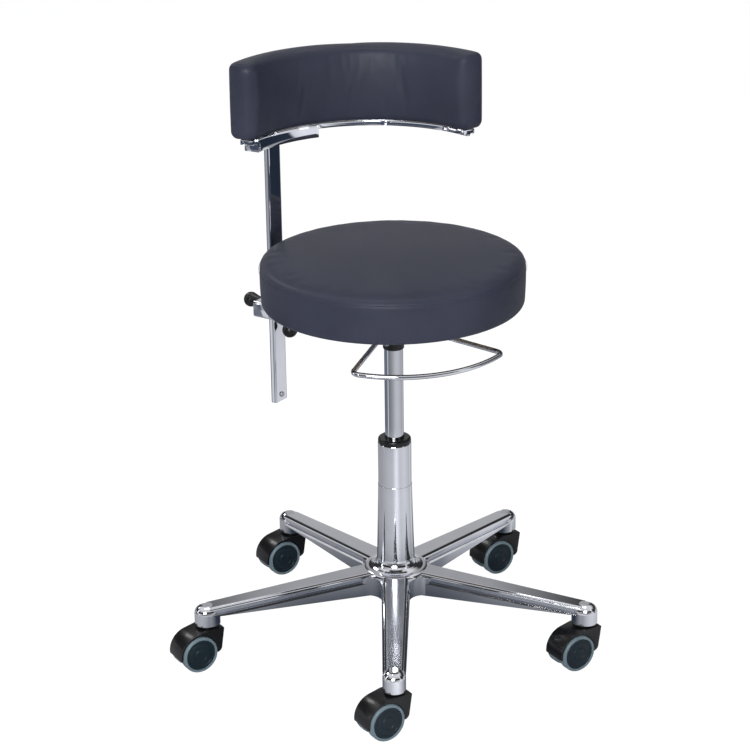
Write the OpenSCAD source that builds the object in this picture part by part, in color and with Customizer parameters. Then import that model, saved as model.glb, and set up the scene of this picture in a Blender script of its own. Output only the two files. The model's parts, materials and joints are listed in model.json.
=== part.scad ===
// Doctors chair: round upholstered seat on a gas lift, five-leg castor base,
// curved back pad on a sliding rail, post and arm with hand knobs.
// Millimetres, +Z up, the column's axis is the Z axis, the floor is Z = 0.
// The front of the chair faces -Y.

/* [Base] */
// Radius of the circle through the castor stems
castor_circle_r = 294; // [280:1:310]
// Width of a leg at the hub
leg_hub_w = 44; // [42:0.5:47]
// Width of a leg at its tip, also the diameter of the stem boss
leg_tip_w = 33; // [31:0.5:35]
// Height of a leg's side at the hub
leg_hub_h = 39.5; // [37:0.5:44]
// Height of a leg's side at the tip
leg_tip_h = 13; // [12:0.5:16]
// Wall of the hollow cast legs
leg_wall = 4.5; // [3.5:0.25:5.5]
// Length of stem boss below the leg's lower edge
boss_drop = 16.5; // [12:0.5:20]
// Turn of the base, seen from above
base_turn = 1.3; // [0:0.1:30]

/* [Castors] */
// Diameter of a castor wheel
wheel_d = 56; // [52:1:60]
// Width of one wheel
wheel_w = 14; // [12:0.5:15]
// Distance from the stem's axis back to the axle
castor_trail = 24; // [22:0.5:26]
// Thickness of the hood's middle web between the wheels
hood_web = 15; // [14:0.5:18]
// Wall of the hood over the wheels
hood_wall = 2.5; // [2:0.25:3.5]
// Diameter of the stem in its boss
stem_d = 11; // [10:0.5:12]
// Swing of all castors, seen from above
castor_turn = 32; // [0:0.1:40]

/* [Column] */
// Outer diameter of the column tube
tube_d = 50; // [48:0.5:52]
// Wall of the column tube
tube_wall = 2; // [1.5:0.25:2.5]
// Length of the column tube
tube_len = 241; // [225:1:260]
// Height of the rounded guide collar above the tube
collar_h = 8; // [6:0.5:12]
// Outer diameter of the gas cylinder
cylinder_d = 28; // [27:0.25:29]
// Travel of the seat height
lift_travel = 125; // [100:1:130]
// Diameter of the piston rod
rod_d = 10; // [9:0.5:11]

/* [Seat] */
// Diameter of the round seat
seat_d = 386; // [375:1:400]
// Height of the upholstery at its edge
seat_edge_h = 68; // [60:1:80]
// Rise of the seat's crown over its edge
seat_crown = 4; // [2:0.5:8]
// Radius of the seat's upper edge
seat_roll_r = 9; // [8:0.5:14]
// Thickness of the plywood seat board
board_t = 12; // [10:0.5:15]
// Thickness of the steel seat plate
plate_t = 4; // [3:0.5:5]
// Length of the cone socket under the plate
cone_len = 56; // [54:0.5:62]

/* [Release loop] */
// Radius of the loop's front arc round the column
loop_r = 184; // [170:1:188]
// Half the angle that the loop spans
loop_half = 38; // [34:1:42]
// Wire diameter of the loop
wire_d = 7.4; // [6.4:0.1:8]
// Droop of the loop from its pivot
loop_droop = 5; // [3:0.5:5.5]
// Direction of the loop, turned from the front towards the right
loop_turn = 18.9; // [10:0.1:24]

/* [Arm and post] */
// Direction of the arm, turned from the back towards the left
arm_turn = 56; // [50:0.5:62]
// Distance from the seat's edge to the middle of the post
post_gap = 17; // [14:1:27]
// Width of the arm tube
arm_w = 30; // [28:0.5:32]
// Height of the arm tube
arm_h = 20; // [18:0.5:22]
// Wall of the arm tube
arm_wall = 2; // [1.5:0.25:2.5]
// Width of the flat post
post_w = 30; // [28:0.5:32]
// Thickness of the flat post
post_t = 10; // [9:0.5:11]
// Length of the post
post_len = 403; // [360:1:412]
// Length of the post that shows below the arm's axis
post_below = 149; // [140:1:155]
// Diameter of the hand knobs
knob_d = 23; // [21:0.5:25]

/* [Back pad] */
// Distance from the pad's inner face to the rail's middle
pad_lap = 18; // [16:0.5:20]
// Thickness of the pad
pad_t = 47; // [45:1:56]
// Height of the pad
pad_h = 112.5; // [100:0.5:130]
// Half the angle that the pad spans
pad_half = 60.3; // [56:0.1:64]
// Radius of the pad's soft edges
pad_edge_r = 11.5; // [9:0.5:14]
// Radius of the pad's upright end edges
pad_end_r = 19; // [16:0.5:21]
// Radius of the curved rail's middle
rail_r = 193; // [191:0.5:195]
// Angle that the curved holder spans
holder_span = 38; // [34:0.5:40]
// Direction from the rail's centre to the post, from the back to the left
post_turn = 47; // [46:0.1:48]
// Play between the rail's stop and the holder's end
stop_gap = 3.9; // [0.3:0.1:5]

/* [Hidden] */
$fn = 64;

// Places that follow from the sizes above
post_r = seat_d / 2 + post_gap;
pad_in_r = rail_r - pad_lap;

// Shared fits and overruns
run_gap = 0.3;          // gap between pieces that pass or seat on each other
fit_gap = 0.05;         // radial clearance of a turning or sliding fit
over = 1;               // overrun of cuts
bevel = 0.8;            // broken edge of machined pieces
leg_count = 5;
leg_step = 360 / leg_count;

// Castor heights
axle_z = wheel_d / 2;
axle_d = 6;
wheel_run = 1;          // gap between wheel and hood, all round
wheel_side_gap = 0.5;   // gap between wheel and middle web
hood_r = wheel_d / 2 + wheel_run + hood_wall;
hood_rise = 3.2;        // hood's flat top above its round back
hood_top_z = axle_z + hood_r + hood_rise;
hood_side_in = 3;       // wheel face outside the hood's side
hood_half = hood_web / 2 + wheel_side_gap + wheel_w - hood_side_in;
hood_front = 17.5;      // hood's apron in front of the stem's axis
hood_front_r = 2;       // rounding of the apron's upper edge
hood_front_in = 4.5;    // apron slants back by this towards its lower edge
hood_corner_r = 8;      // rounding of the apron's lower corner
hood_flat = 12;         // end of the hood's flat top behind the stem's axis
hood_skirt = 4;         // hood's lower edge below the axle
pivot_d = 8;            // lower, thin part of the stem
pivot_len = 24;
flange_d = 20;
flange_t = 2.5;
stem_len = 23.5;
socket_z = hood_top_z + run_gap + flange_t;
socket_deep = stem_len + run_gap;
tyre_t = 5;             // radial thickness of the wheel's soft tyre
tyre_edge_r = 2.5;
disc_sink = 1.2;        // wheel disc lies inside the tyre's face
wheel_hub_d = 16;
wheel_web = 4;          // thickness of the wheel's outer disc
axle_len = 2 * (hood_web / 2 + wheel_side_gap + wheel_w - disc_sink - wheel_web / 2);

// Base heights
leg_foot_z = socket_z + boss_drop;
leg_hub_z = leg_foot_z + leg_hub_h;
leg_tip_z = leg_foot_z + leg_tip_h;
leg_fall = atan((leg_hub_h - leg_tip_h) / castor_circle_r);
leg_taper = atan((leg_hub_w - leg_tip_w) / 2 / castor_circle_r);
leg_edge_r = 4.5;       // soft upper edges of a leg
cove_deep = 2.4;        // cove along each side of a leg
cove_h = 5;
cove_down = 7;          // cove's upper lip below the leg's top
leg_roof = 5;           // roof over the hollow of a leg
leg_rib = 4;            // cross ribs in the hollow
rib_shares = [0.36, 0.62];
tip_round_r = 12;       // rounding of the boss's top
tip_long = 2.75;        // boss is longer than wide by twice this
hub_r = 44;
hub_drop = 4;           // hub's lower face below the legs' lower edge
hub_foot_z = leg_foot_z - hub_drop;
hub_ring_wall = 6;      // wall between the tube and the hub's hollow
hub_hollow_h = 24;
neck_wall = 3.2;        // neck's wall where it leaves the hub
neck_lip = 0.4;         // neck's wall at its upper lip
neck_h = 131;
neck_fillet_r = 16;
neck_root_z = leg_hub_z - (hub_r - neck_fillet_r / 2) * tan(leg_fall);
web_round_r = 6;        // rounding of the web's upper edge between the legs
web_fall = 1.6;         // web's top falls by this towards the legs
hub_fillet_r = 22;      // upright fillets between neighbouring legs
hub_fillet_c = (leg_hub_w / 2 - 2 * bevel + hub_fillet_r) / sin(leg_step / 2);
web_r = norm([hub_fillet_c - hub_fillet_r * sin(leg_step / 2), hub_fillet_r * cos(leg_step / 2)]);

// Column heights
tube_z = hub_foot_z;
tube_top_z = tube_z + tube_len;
tube_floor = 4;
collar_lip = 0.4;       // collar stands back from the tube's outer face
collar_roll_r = 3.5;
bush_len = 80;
collar_top_z = tube_top_z + collar_h;
bearing_t = 4;
buffer_t = 8;
buffer_r = 11;
bearing_r = 15;
clip_t = 1.5;
clip_r = 9;
clip_down = 2;
lift_reserve = 15;      // rod left out at the lowest seat
cap_h = 13;
cap_wall = 1.6;
cone_z = collar_top_z + lift_travel + lift_reserve + cap_h;
cylinder_wall = 2;
cylinder_foot_z = tube_z + tube_floor + bearing_t + buffer_t + run_gap + lift_travel;
cylinder_floor = 12;
taper_len = 40;         // cone at the cylinder's top
taper_in = 0.8;         // loss of radius over the cone
cylinder_head = 20;
piston_h = 12;
piston_gap = 0.5;
rod_top_z = cylinder_foot_z + cylinder_floor + piston_h + 4 * piston_gap + cylinder_head;

// Seat structure
plate_z = cone_z + cone_len;
board_z = plate_z + plate_t;
board_in = 13;          // board's edge inside the seat's edge
board_r = seat_d / 2 - board_in;
plate_r_share = 0.445;  // seat plate's radius as a share of the board's
plate_r = board_r * plate_r_share;
plate_arm_in = 14;      // tongue of the plate along the arm ends before the board's edge
plate_arm_r = board_r - plate_arm_in;
plate_arm_w = 62;
cone_wall = 4;
cone_r = cylinder_d / 2 + cone_wall;
cone_window_w = 24;
screw_d = 6;
screw_head_d = 11;
screw_head_h = 3.5;
screw_grip = 9;         // screw's length inside the board
screw_r = plate_r - 2 * screw_d - bevel * 2;
screw_turns = [35, 145, 215, 325];
seat_foot_r = 6;        // lower edge rounding of the seat
seat_draw = 2.2;        // cover drawn in at the seat's lower edge
seat_bulge = 1.4;       // side bulges by this at its middle
seam_deep = 0.8;
seam_w = 2;
seam_drop = 1.5;        // seam below the end of the upper edge's rounding
seam_down = seat_roll_r + seam_drop;

// Guide and arm
guide_gap = 0.3;
guide_wall = 2.5;
guide_w = arm_w + 2 * guide_gap + 2 * guide_wall;
guide_h = arm_h + 2 * guide_gap + 2 * guide_wall;
guide_in_r = cone_r - over;
guide_in = 14;          // guide's end before the post's middle
guide_out_r = post_r - guide_in;
hanger_h = 33;
hanger_w = 34;
hanger_t = 3;
arm_z = plate_z - hanger_h - guide_h / 2;
clamp_in = 10.5;        // clamp's inner face before the post's axis
clamp_out = 29;         // clamp's outer face beyond the post's axis
clamp_w = 40;
clamp_h = 25;
clamp_drop = 1.5;       // clamp's middle below the arm's axis
clamp_knob_up = 5;      // post knob's axis above the arm's axis
clamp_edge_r = 4;
arm_in_r = 40;
slot_gap = 0.15;        // post's clearance in the clamp
arm_travel = 60;

// Knobs and studs
stud_d = 8;
stud_tip = 0.1;         // stud's tip before what it presses on
knob_neck_d = 13;
post_knob_neck = 12;     // necks between the knobs' balls and what they stand on
arm_knob_neck = 10;
knob_flutes = 8;
knob_flute_d = 5;
knob_flat = 4;          // flat at the knob's end below its full ball
arm_knob_in = 23.5;      // knob's axis before the post's middle
arm_knob_r = post_r - arm_knob_in;
boss_d = 14;
stud_in_knob = 14;

// Post, stop and holder
post_edge_r = 3;
post_foot_z = arm_z - post_below;
post_top_z = post_foot_z + post_len;
stop_up = 10.5;         // stop screw above the post's foot
stop_d = 4;
stop_head_d = 8.5;
stop_head_h = 2.4;
holder_h = 11.9;
holder_cheek_t = 3;     // wall that stands before the rail's inner face
holder_cheek_h = 6.8;
holder_z = post_top_z;
holder_lead = 4.2;       // holder's middle lies this turn before the post
holder_turn = post_turn - holder_lead;
end_screw_d = 4;
end_screw_head_d = 7;
end_screw_head_h = 2.2;
end_screw_in = 6;       // end screw before the holder's end
end_screw_up = 5.2;     // end screw above the holder's foot
end_screw_len = 8;
seat_off = 0.1;         // flat heads stand off curved walls

// Rail and pad
rail_gap = 0.3;
rail_w = 20;
rail_z = holder_z + holder_h + rail_gap;
rail_h = 7;
slot_out = 5;           // middle of the rail's slot outside the rail's middle
slot_w = 3.6;           // slot's mouth
slot_lip = 2;
cave_w = 7;             // wide upper part of the slot
cave_h = 2.6;
slot_r = rail_r + slot_out;
rail_top_z = rail_z + rail_h;
rail_end_in = 9;        // rail's ends before the pad's ends
rail_half = pad_half - asin(rail_end_in / rail_r);
stop_r = (stop_head_d - bevel) / 2;
stop_half = rail_half - asin(stop_d / rail_r);
pad_turn = holder_turn + holder_span / 2 + asin((stop_r + stop_gap) / rail_r) - stop_half;
pad_z = rail_top_z + run_gap;
core_t = 3;
core_inset = 5;         // core's inner face outside the rail's inner face
core_in_r = rail_r - rail_w / 2 + core_inset;
core_drop = 1;          // core's lower edge above the rail's lower face
core_top_in = 10;
core_end_in = 14;
core_half = pad_half - asin(core_end_in / core_in_r);
pad_mid_r = pad_in_r + pad_t / 2;
pad_corner_r = 9;       // pad's corners, seen from the front
pad_bulge = 3;          // crown of the pad's inner face
pad_back_bulge = 1.5;
pad_screw_d = 3.8;
pad_screw_head_d = 6.6;
pad_screw_head_h = 1.8;
pad_screw_len = 11;
pad_screw_turns = [-46, -15.9, 15.9, 46];

// Loop and pivot
pivot_out = 50;         // pivot's distance from the column's axis
weld = 1;               // weld bead round the wire at the loop's inner corners
pivot_down = 34;        // pivot below the seat plate
pivot_z = plate_z - pivot_down;
ear_half = 29;
ear_t = 4;
ear_w = 22;
ear_share = 0.8;
lever_tube_d = 11;
lever_half = ear_half - ear_t / 2 - run_gap;
bend_r = 10;            // bend at the loop's corners
tongue_w = 18;
tongue_t = 3;
tongue_back = 6;        // tongue's end behind the column's axis
tongue_flat = 28;
button_d = 8;
button_rise = 6;        // release pin above the cylinder's end
button_gap = 0.5;
taper_top_z = cone_z + taper_len;
button_top_z = taper_top_z + button_rise;
tongue_z = button_top_z + button_gap;
window_drop = 7;        // window's lower edge below the tongue
window_z = tongue_z - window_drop;
button_len = 17;

// Colours
chrome = [0.78, 0.80, 0.83];
steel = [0.62, 0.64, 0.67];
black = [0.07, 0.07, 0.08];
slate = [0.22, 0.27, 0.31];
leather = [0.24, 0.25, 0.31];
wood = [0.72, 0.58, 0.40];

// Points along an arc round (cx, cy)
function arc_points(cx, cy, r, a0, a1, n) = [
    for (i = [0 : n]) [cx + r * cos(a0 + (a1 - a0) * i / n), cy + r * sin(a0 + (a1 - a0) * i / n)]
];

// Centre of the curved rail, worked back from the post
function post_xy() = [-post_r * sin(arm_turn), post_r * cos(arm_turn)];
rail_cx = post_xy()[0] + rail_r * sin(post_turn);
rail_cy = post_xy()[1] - rail_r * cos(post_turn);

// Rectangle with round corners, centred
module round_rect(w, h, r) {
    polygon(concat(
        arc_points(w / 2 - r, h / 2 - r, r, 0, 90, 6),
        arc_points(-w / 2 + r, h / 2 - r, r, 90, 180, 6),
        arc_points(-w / 2 + r, -h / 2 + r, r, 180, 270, 6),
        arc_points(w / 2 - r, -h / 2 + r, r, 270, 360, 6)
    ));
}

// Local +X runs out along leg i
module at_leg(i) {
    rotate([0, 0, -90 - leg_step * i - base_turn])
        children();
}

// Castor frame: origin under the stem, local -X towards the axle, Y along the axle
module at_castor(i) {
    at_leg(i)
        translate([castor_circle_r, 0, 0])
            rotate([0, 0, 90 + leg_step * i + base_turn + castor_turn])
                children();
}

// Local +X runs out along the arm
module at_arm() {
    rotate([0, 0, 90 + arm_turn])
        children();
}

// Local +X runs out along the loop's middle
module at_loop() {
    rotate([0, 0, -90 + loop_turn])
        children();
}

// Local frame of the curved rail: origin on its centre, +X towards direction dir
module at_rail(dir) {
    translate([rail_cx, rail_cy, 0])
        rotate([0, 0, 90 + dir])
            children();
}

// Ring sector round the local Z axis, centred on +X
module sector(half) {
    rotate([0, 0, -half])
        rotate_extrude(angle = 2 * half)
            children();
}

// Modules of the base

// Half section of a leg: side profile with the cove, open to the far side
module leg_half_section() {
    half = leg_hub_w / 2;
    polygon(concat(
        [[-leg_hub_w, 0]],
        arc_points(half - leg_edge_r - cove_deep, -leg_edge_r, leg_edge_r, 90, 0, 6),
        [
            [half - cove_deep, -cove_down],
            [half - 2 * cove_deep, -cove_down - cove_h / 3],
            [half - 2 * cove_deep, -cove_down - cove_h * 2 / 3],
            [half - cove_deep / 2, -cove_down - cove_h],
            [half, -cove_down - cove_h * 1.6],
            [half, -2 * leg_hub_h],
            [-leg_hub_w, -2 * leg_hub_h]
        ]
    ));
}

// Outer form of one leg
module leg_body() {
    intersection() {
        translate([0, 0, leg_hub_z])
            rotate([0, leg_fall, 0])
                rotate([0, 0, -leg_taper])
                    rotate([90, 0, 90])
                        linear_extrude(height = castor_circle_r)
                            leg_half_section();
        translate([0, 0, leg_hub_z])
            mirror([0, 1, 0])
                rotate([0, leg_fall, 0])
                    rotate([0, 0, -leg_taper])
                        rotate([90, 0, 90])
                            linear_extrude(height = castor_circle_r)
                                leg_half_section();
        translate([0, -leg_hub_w, leg_foot_z])
            cube([castor_circle_r, 2 * leg_hub_w, 2 * leg_hub_h]);
    }
}

// Half section of the stem boss
function boss_half() = concat(
    [[0, socket_z], [leg_tip_w / 2 - bevel, socket_z], [leg_tip_w / 2, socket_z + bevel]],
    arc_points(leg_tip_w / 2 - tip_round_r, leg_tip_z + bevel - tip_round_r, tip_round_r, 0, 90, 8),
    [[0, leg_tip_z + bevel]]
);

// Oval stem boss at the tip, with its soft top
module tip_boss() {
    for (side = [-1, 1])
        translate([castor_circle_r + side * tip_long, 0, 0])
            rotate_extrude()
                polygon(boss_half());
    for (side = [0, 1])
        mirror([0, side, 0])
            translate([castor_circle_r - tip_long, 0, 0])
                rotate([90, 0, 90])
                    linear_extrude(height = 2 * tip_long)
                        polygon(boss_half());
}

// Hollow under one leg, left open below, with two cross ribs
module leg_hollow() {
    in_r = hub_r + leg_wall;
    out_r = castor_circle_r - leg_tip_w / 2 - leg_wall / 2;
    hub_half = leg_hub_w / 2 - leg_wall - in_r * tan(leg_taper) - cove_deep;
    tip_half = leg_hub_w / 2 - leg_wall - out_r * tan(leg_taper) - cove_deep;
    difference() {
        intersection() {
            translate([0, 0, leg_foot_z - over])
                linear_extrude(height = 2 * leg_hub_h)
                    polygon([[in_r, -hub_half], [out_r, -tip_half], [out_r, tip_half], [in_r, hub_half]]);
            translate([0, 0, leg_hub_z - leg_roof])
                rotate([0, leg_fall, 0])
                    translate([0, -leg_hub_w, -3 * leg_hub_h])
                        cube([2 * castor_circle_r, 2 * leg_hub_w, 3 * leg_hub_h]);
        }
        for (share = rib_shares)
            translate([castor_circle_r * share, -leg_hub_w, leg_foot_z + leg_rib])
                cube([leg_rib, 2 * leg_hub_w, 2 * leg_hub_h]);
    }
}

// Ring-shaped hollow under the hub, with a rib towards each leg
module hub_hollow() {
    difference() {
        rotate_extrude()
            translate([tube_d / 2 + hub_ring_wall, hub_foot_z - over])
                square([hub_r - leg_wall - tube_d / 2 - hub_ring_wall, hub_hollow_h + over]);
        for (i = [0 : leg_count - 1])
            at_leg(i)
                translate([0, -leg_rib / 2, hub_foot_z])
                    cube([hub_r, leg_rib, hub_hollow_h + over]);
    }
}

// Hub with its filleted neck and the web between the legs
module hub_body() {
    r = tube_d / 2;
    root_r = r + neck_wall + neck_fillet_r;
    web_z = neck_root_z - web_round_r;
    difference() {
        rotate_extrude()
            polygon(concat(
                [[0, hub_foot_z], [hub_r - 2 * bevel, hub_foot_z], [hub_r, hub_foot_z + 2 * bevel]],
                [[hub_r, leg_foot_z + over], [web_r, leg_foot_z + over], [web_r, web_z - web_fall]],
                arc_points(root_r, web_z, web_round_r, 0, 72, 5),
                arc_points(root_r, neck_root_z + neck_fillet_r, neck_fillet_r, 270, 180, 8),
                [[r + neck_lip, leg_hub_z + neck_h], [0, leg_hub_z + neck_h]]
            ));
        for (i = [0 : leg_count - 1])
            at_leg(i)
                rotate([0, 0, leg_step / 2])
                    translate([hub_fillet_c, 0, leg_foot_z - over])
                        cylinder(r = hub_fillet_r, h = leg_hub_h);
    }
}

module star_base() {
    color(chrome)
        difference() {
            union() {
                hub_body();
                for (i = [0 : leg_count - 1])
                    at_leg(i) {
                        leg_body();
                        tip_boss();
                    }
            }
            translate([0, 0, hub_foot_z - over])
                cylinder(r = tube_d / 2 + fit_gap, h = leg_hub_z + neck_h);
            hub_hollow();
            for (i = [0 : leg_count - 1])
                at_leg(i) {
                    leg_hollow();
                    translate([castor_circle_r, 0, socket_z - over])
                        cylinder(r = stem_d / 2 + fit_gap, h = socket_deep + over);
                }
        }
}

// Modules of the column

module column_tube() {
    r = tube_d / 2;
    color(chrome)
        rotate_extrude()
            polygon([
                [rod_d / 2 + fit_gap, tube_z],
                [r - bevel, tube_z],
                [r, tube_z + bevel],
                [r, tube_top_z - bevel],
                [r - bevel / 2, tube_top_z],
                [r - tube_wall, tube_top_z],
                [r - tube_wall, tube_z + tube_floor],
                [rod_d / 2 + fit_gap, tube_z + tube_floor]
            ]);
}

module guide_collar() {
    bore = cylinder_d / 2 + fit_gap;
    r_in = tube_d / 2 - tube_wall - fit_gap;
    r_out = tube_d / 2 - collar_lip;
    color(black)
        rotate_extrude()
            polygon(concat(
                [[bore, tube_top_z - bush_len], [r_in, tube_top_z - bush_len], [r_in, tube_top_z]],
                [[r_out, tube_top_z]],
                arc_points(r_out - collar_roll_r, collar_top_z - collar_roll_r, collar_roll_r, 0, 90, 8),
                [[bore + bevel, collar_top_z], [bore, collar_top_z - bevel]]
            ));
}

module piston_rod() {
    r = rod_d / 2;
    piston_r = cylinder_d / 2 - cylinder_wall - piston_gap;
    piston_z = rod_top_z - piston_h;
    color(steel)
        rotate_extrude()
            polygon([
                [0, tube_z - clip_down - clip_t - bevel],
                [r, tube_z - clip_down - clip_t - bevel],
                [r, piston_z],
                [piston_r, piston_z],
                [piston_r, rod_top_z],
                [0, rod_top_z]
            ]);
}

module thrust_bearing() {
    r = rod_d / 2 + fit_gap;
    z = tube_z + tube_floor + fit_gap;
    color(steel)
        rotate_extrude()
            polygon([
                [r, z],
                [bearing_r, z],
                [bearing_r, z + bearing_t],
                [buffer_r, z + bearing_t],
                [buffer_r, z + bearing_t + buffer_t - bevel],
                [buffer_r - bevel, z + bearing_t + buffer_t],
                [r, z + bearing_t + buffer_t]
            ]);
}

module rod_clip() {
    color(steel)
        translate([0, 0, tube_z - run_gap - clip_t])
            difference() {
                cylinder(r = clip_r, h = clip_t);
                translate([0, 0, -over])
                    cylinder(r = rod_d / 2 + fit_gap, h = clip_t + 2 * over);
                translate([0, -rod_d / 3, -over])
                    cube([clip_r + over, rod_d * 2 / 3, clip_t + 2 * over]);
            }
}

module gas_cylinder() {
    r = cylinder_d / 2;
    in_r = r - cylinder_wall;
    pin_r = button_d / 2 + fit_gap;
    color(chrome)
        rotate_extrude()
            polygon([
                [rod_d / 2 + fit_gap, cylinder_foot_z],
                [r - bevel, cylinder_foot_z],
                [r, cylinder_foot_z + bevel],
                [r, cone_z],
                [r - taper_in, taper_top_z],
                [pin_r, taper_top_z],
                [pin_r, taper_top_z - cylinder_head],
                [in_r, taper_top_z - cylinder_head],
                [in_r, cylinder_foot_z + cylinder_floor],
                [rod_d / 2 + fit_gap, cylinder_foot_z + cylinder_floor]
            ]);
}

module cone_cap() {
    r = cylinder_d / 2 + fit_gap;
    color(black)
        rotate_extrude()
            polygon([
                [r, cone_z - cap_h],
                [r + cap_wall - bevel, cone_z - cap_h],
                [r + cap_wall, cone_z - cap_h + bevel],
                [r + cap_wall, cone_z],
                [r, cone_z]
            ]);
}

// Modules of the seat's structure

// Outline of the seat plate: round, with a tongue along the arm
module plate_outline() {
    union() {
        circle(r = plate_r);
        translate([0, -plate_arm_w / 2])
            square([plate_arm_r, plate_arm_w]);
    }
}

// Places of the screws that hold the plate to the board
module at_screws() {
    at_arm() {
        for (turn = screw_turns)
            rotate([0, 0, turn])
                translate([screw_r, 0, 0])
                    children();
        for (side = [-1, 1])
            translate([plate_arm_r - 2 * screw_d, side * (hanger_w / 2 + screw_d + bevel), 0])
                children();
    }
}

// Rectangular guide tube along the arm, with the channel that hangs it from the plate
module arm_guide() {
    at_arm() {
        difference() {
            union() {
                translate([guide_in_r, 0, arm_z])
                    rotate([90, 0, 90])
                        linear_extrude(height = guide_out_r - guide_in_r)
                            round_rect(guide_w, guide_h, guide_wall);
                translate([arm_knob_r, 0, arm_z - guide_h / 2 - guide_wall])
                    cylinder(d = boss_d, h = 2 * guide_wall);
            }
            translate([arm_in_r - post_r / 20, 0, arm_z])
                rotate([90, 0, 90])
                    linear_extrude(height = guide_out_r)
                        square([arm_w + 2 * guide_gap, arm_h + 2 * guide_gap], center = true);
            translate([arm_knob_r, 0, arm_z - guide_h])
                cylinder(r = stud_d / 2 + fit_gap, h = guide_h);
        }
        translate([guide_in_r, -hanger_w / 2, arm_z + guide_h / 2])
            difference() {
                cube([plate_arm_r - guide_in_r - hanger_t, hanger_w, hanger_h]);
                translate([cone_wall + 2 * hanger_t, hanger_t, -over])
                    cube([plate_arm_r, hanger_w - 2 * hanger_t, hanger_h - hanger_t + over]);
            }
    }
}

// One ear of the loop's pivot
module pivot_ear(side) {
    translate([pivot_out, side * ear_half + ear_t / 2, 0])
        rotate([90, 0, 0])
            difference() {
                linear_extrude(height = ear_t)
                    polygon(concat(
                        [[-ear_w * ear_share, plate_z + plate_t / 2]],
                        arc_points(0, pivot_z, ear_w / 2, 180, 360, 12),
                        [[ear_w * ear_share, plate_z + plate_t / 2]]
                    ));
                translate([0, pivot_z, -over])
                    cylinder(r = wire_d / 2 + fit_gap, h = ear_t + 2 * over);
            }
}

module seat_carrier() {
    bore = cylinder_d / 2 + fit_gap;
    color(steel)
        difference() {
            union() {
                translate([0, 0, plate_z])
                    linear_extrude(height = plate_t)
                        rotate([0, 0, 90 + arm_turn])
                            plate_outline();
                translate([0, 0, cone_z])
                    cylinder(r = cone_r, h = cone_len + plate_t / 2);
                arm_guide();
                at_loop()
                    for (side = [-1, 1])
                        pivot_ear(side);
            }
            translate([0, 0, cone_z - over])
                cylinder(r = bore, h = over);
            translate([0, 0, cone_z])
                cylinder(r1 = bore, r2 = bore - taper_in, h = taper_len);
            translate([0, 0, taper_top_z - fit_gap])
                cylinder(r = bore - taper_in, h = plate_z - taper_top_z + fit_gap);
            at_loop()
                translate([0, -cone_window_w / 2, window_z])
                    cube([2 * cone_r, cone_window_w, plate_z - window_z]);
            at_screws()
                translate([0, 0, plate_z - over])
                    cylinder(r = screw_d / 2 + fit_gap, h = plate_t + 2 * over);
        }
}

module seat_board() {
    color(wood)
        difference() {
            translate([0, 0, board_z])
                cylinder(r = board_r, h = board_t, $fn = 120);
            at_screws()
                translate([0, 0, board_z - over])
                    cylinder(r = screw_d / 2 + fit_gap, h = screw_grip + fit_gap + over);
        }
}

module seat_screws() {
    color(steel)
        at_screws() {
            translate([0, 0, plate_z - screw_head_h])
                cylinder(d1 = screw_head_d - 2 * bevel, d2 = screw_head_d, h = screw_head_h);
            translate([0, 0, plate_z - screw_head_h / 2])
                cylinder(d = screw_d, h = screw_head_h / 2 + plate_t + screw_grip);
        }
}

// Seat upholstery: crowned top, rolled edge, seam, drawn-in foot, pocket for the board
module seat_cushion() {
    r = seat_d / 2;
    edge_z = board_z + seat_edge_h;
    roll_z = edge_z - seat_roll_r;
    seam_z = edge_z - seam_down;
    crown_r = r - seat_roll_r;
    foot_r = r - seat_draw;
    side_z = board_z + seat_foot_r;
    color(leather)
        rotate_extrude($fn = 120)
            polygon(concat(
                [[0, board_z + board_t + run_gap], [board_r + run_gap, board_z + board_t + run_gap]],
                [[board_r + run_gap, board_z]],
                arc_points(foot_r - seat_foot_r, board_z + seat_foot_r, seat_foot_r, 270, 350, 4),
                [
                    for (i = [1 : 5])
                        let (side = (seat_draw - seat_bulge) * i / 6 + seat_bulge * sin(30 * i))
                            [foot_r + side, side_z + (seam_z - seam_w / 2 - side_z) * i / 6]
                ],
                [[r - seat_bulge / 2, seam_z - seam_w / 2], [r - seat_bulge / 2 - seam_deep, seam_z]],
                [[r - seat_bulge / 2, seam_z + seam_w / 2]],
                arc_points(crown_r, roll_z, seat_roll_r, 0, 84, 8),
                [for (i = [7 : -1 : 0]) [crown_r * i / 8, edge_z + seat_crown * (1 - i * i / 64)]]
            ));
}

// Modules of the release loop and its pin

// Closed wire loop in its own plane, column's axis at the origin; its inner side is the pivot
module loop_wire() {
    r = wire_d / 2;
    bend_c = loop_r - bend_r;
    bend_off = asin(bend_r / bend_c);
    arm_out = bend_c * cos(bend_off);
    arm_in = pivot_out / cos(loop_half);
    pivot_half = pivot_out * tan(loop_half);
    sector(loop_half - bend_off)
        translate([loop_r, 0])
            circle(r = r, $fn = 24);
    translate([pivot_out, pivot_half, 0])
        rotate([90, 0, 0])
            cylinder(r = r, h = 2 * pivot_half, $fn = 24);
    for (side = [0, 1])
        mirror([0, side, 0]) {
            rotate([0, 0, loop_half - bend_off])
                translate([bend_c, 0, 0])
                    rotate_extrude(angle = 90 + bend_off)
                        translate([bend_r, 0])
                            circle(r = r, $fn = 24);
            rotate([0, 0, loop_half])
                translate([arm_in, 0, 0])
                    rotate([0, 90, 0])
                        cylinder(r = r, h = arm_out - arm_in, $fn = 24);
            translate([pivot_out, pivot_half, 0])
                sphere(r = r + weld, $fn = 32);
            rotate([0, 0, loop_half - bend_off])
                translate([loop_r, 0, 0])
                    sphere(r = r + fit_gap, $fn = 24);
            rotate([0, 0, loop_half])
                translate([arm_out, 0, 0])
                    sphere(r = r + fit_gap, $fn = 24);
        }
}

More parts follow.
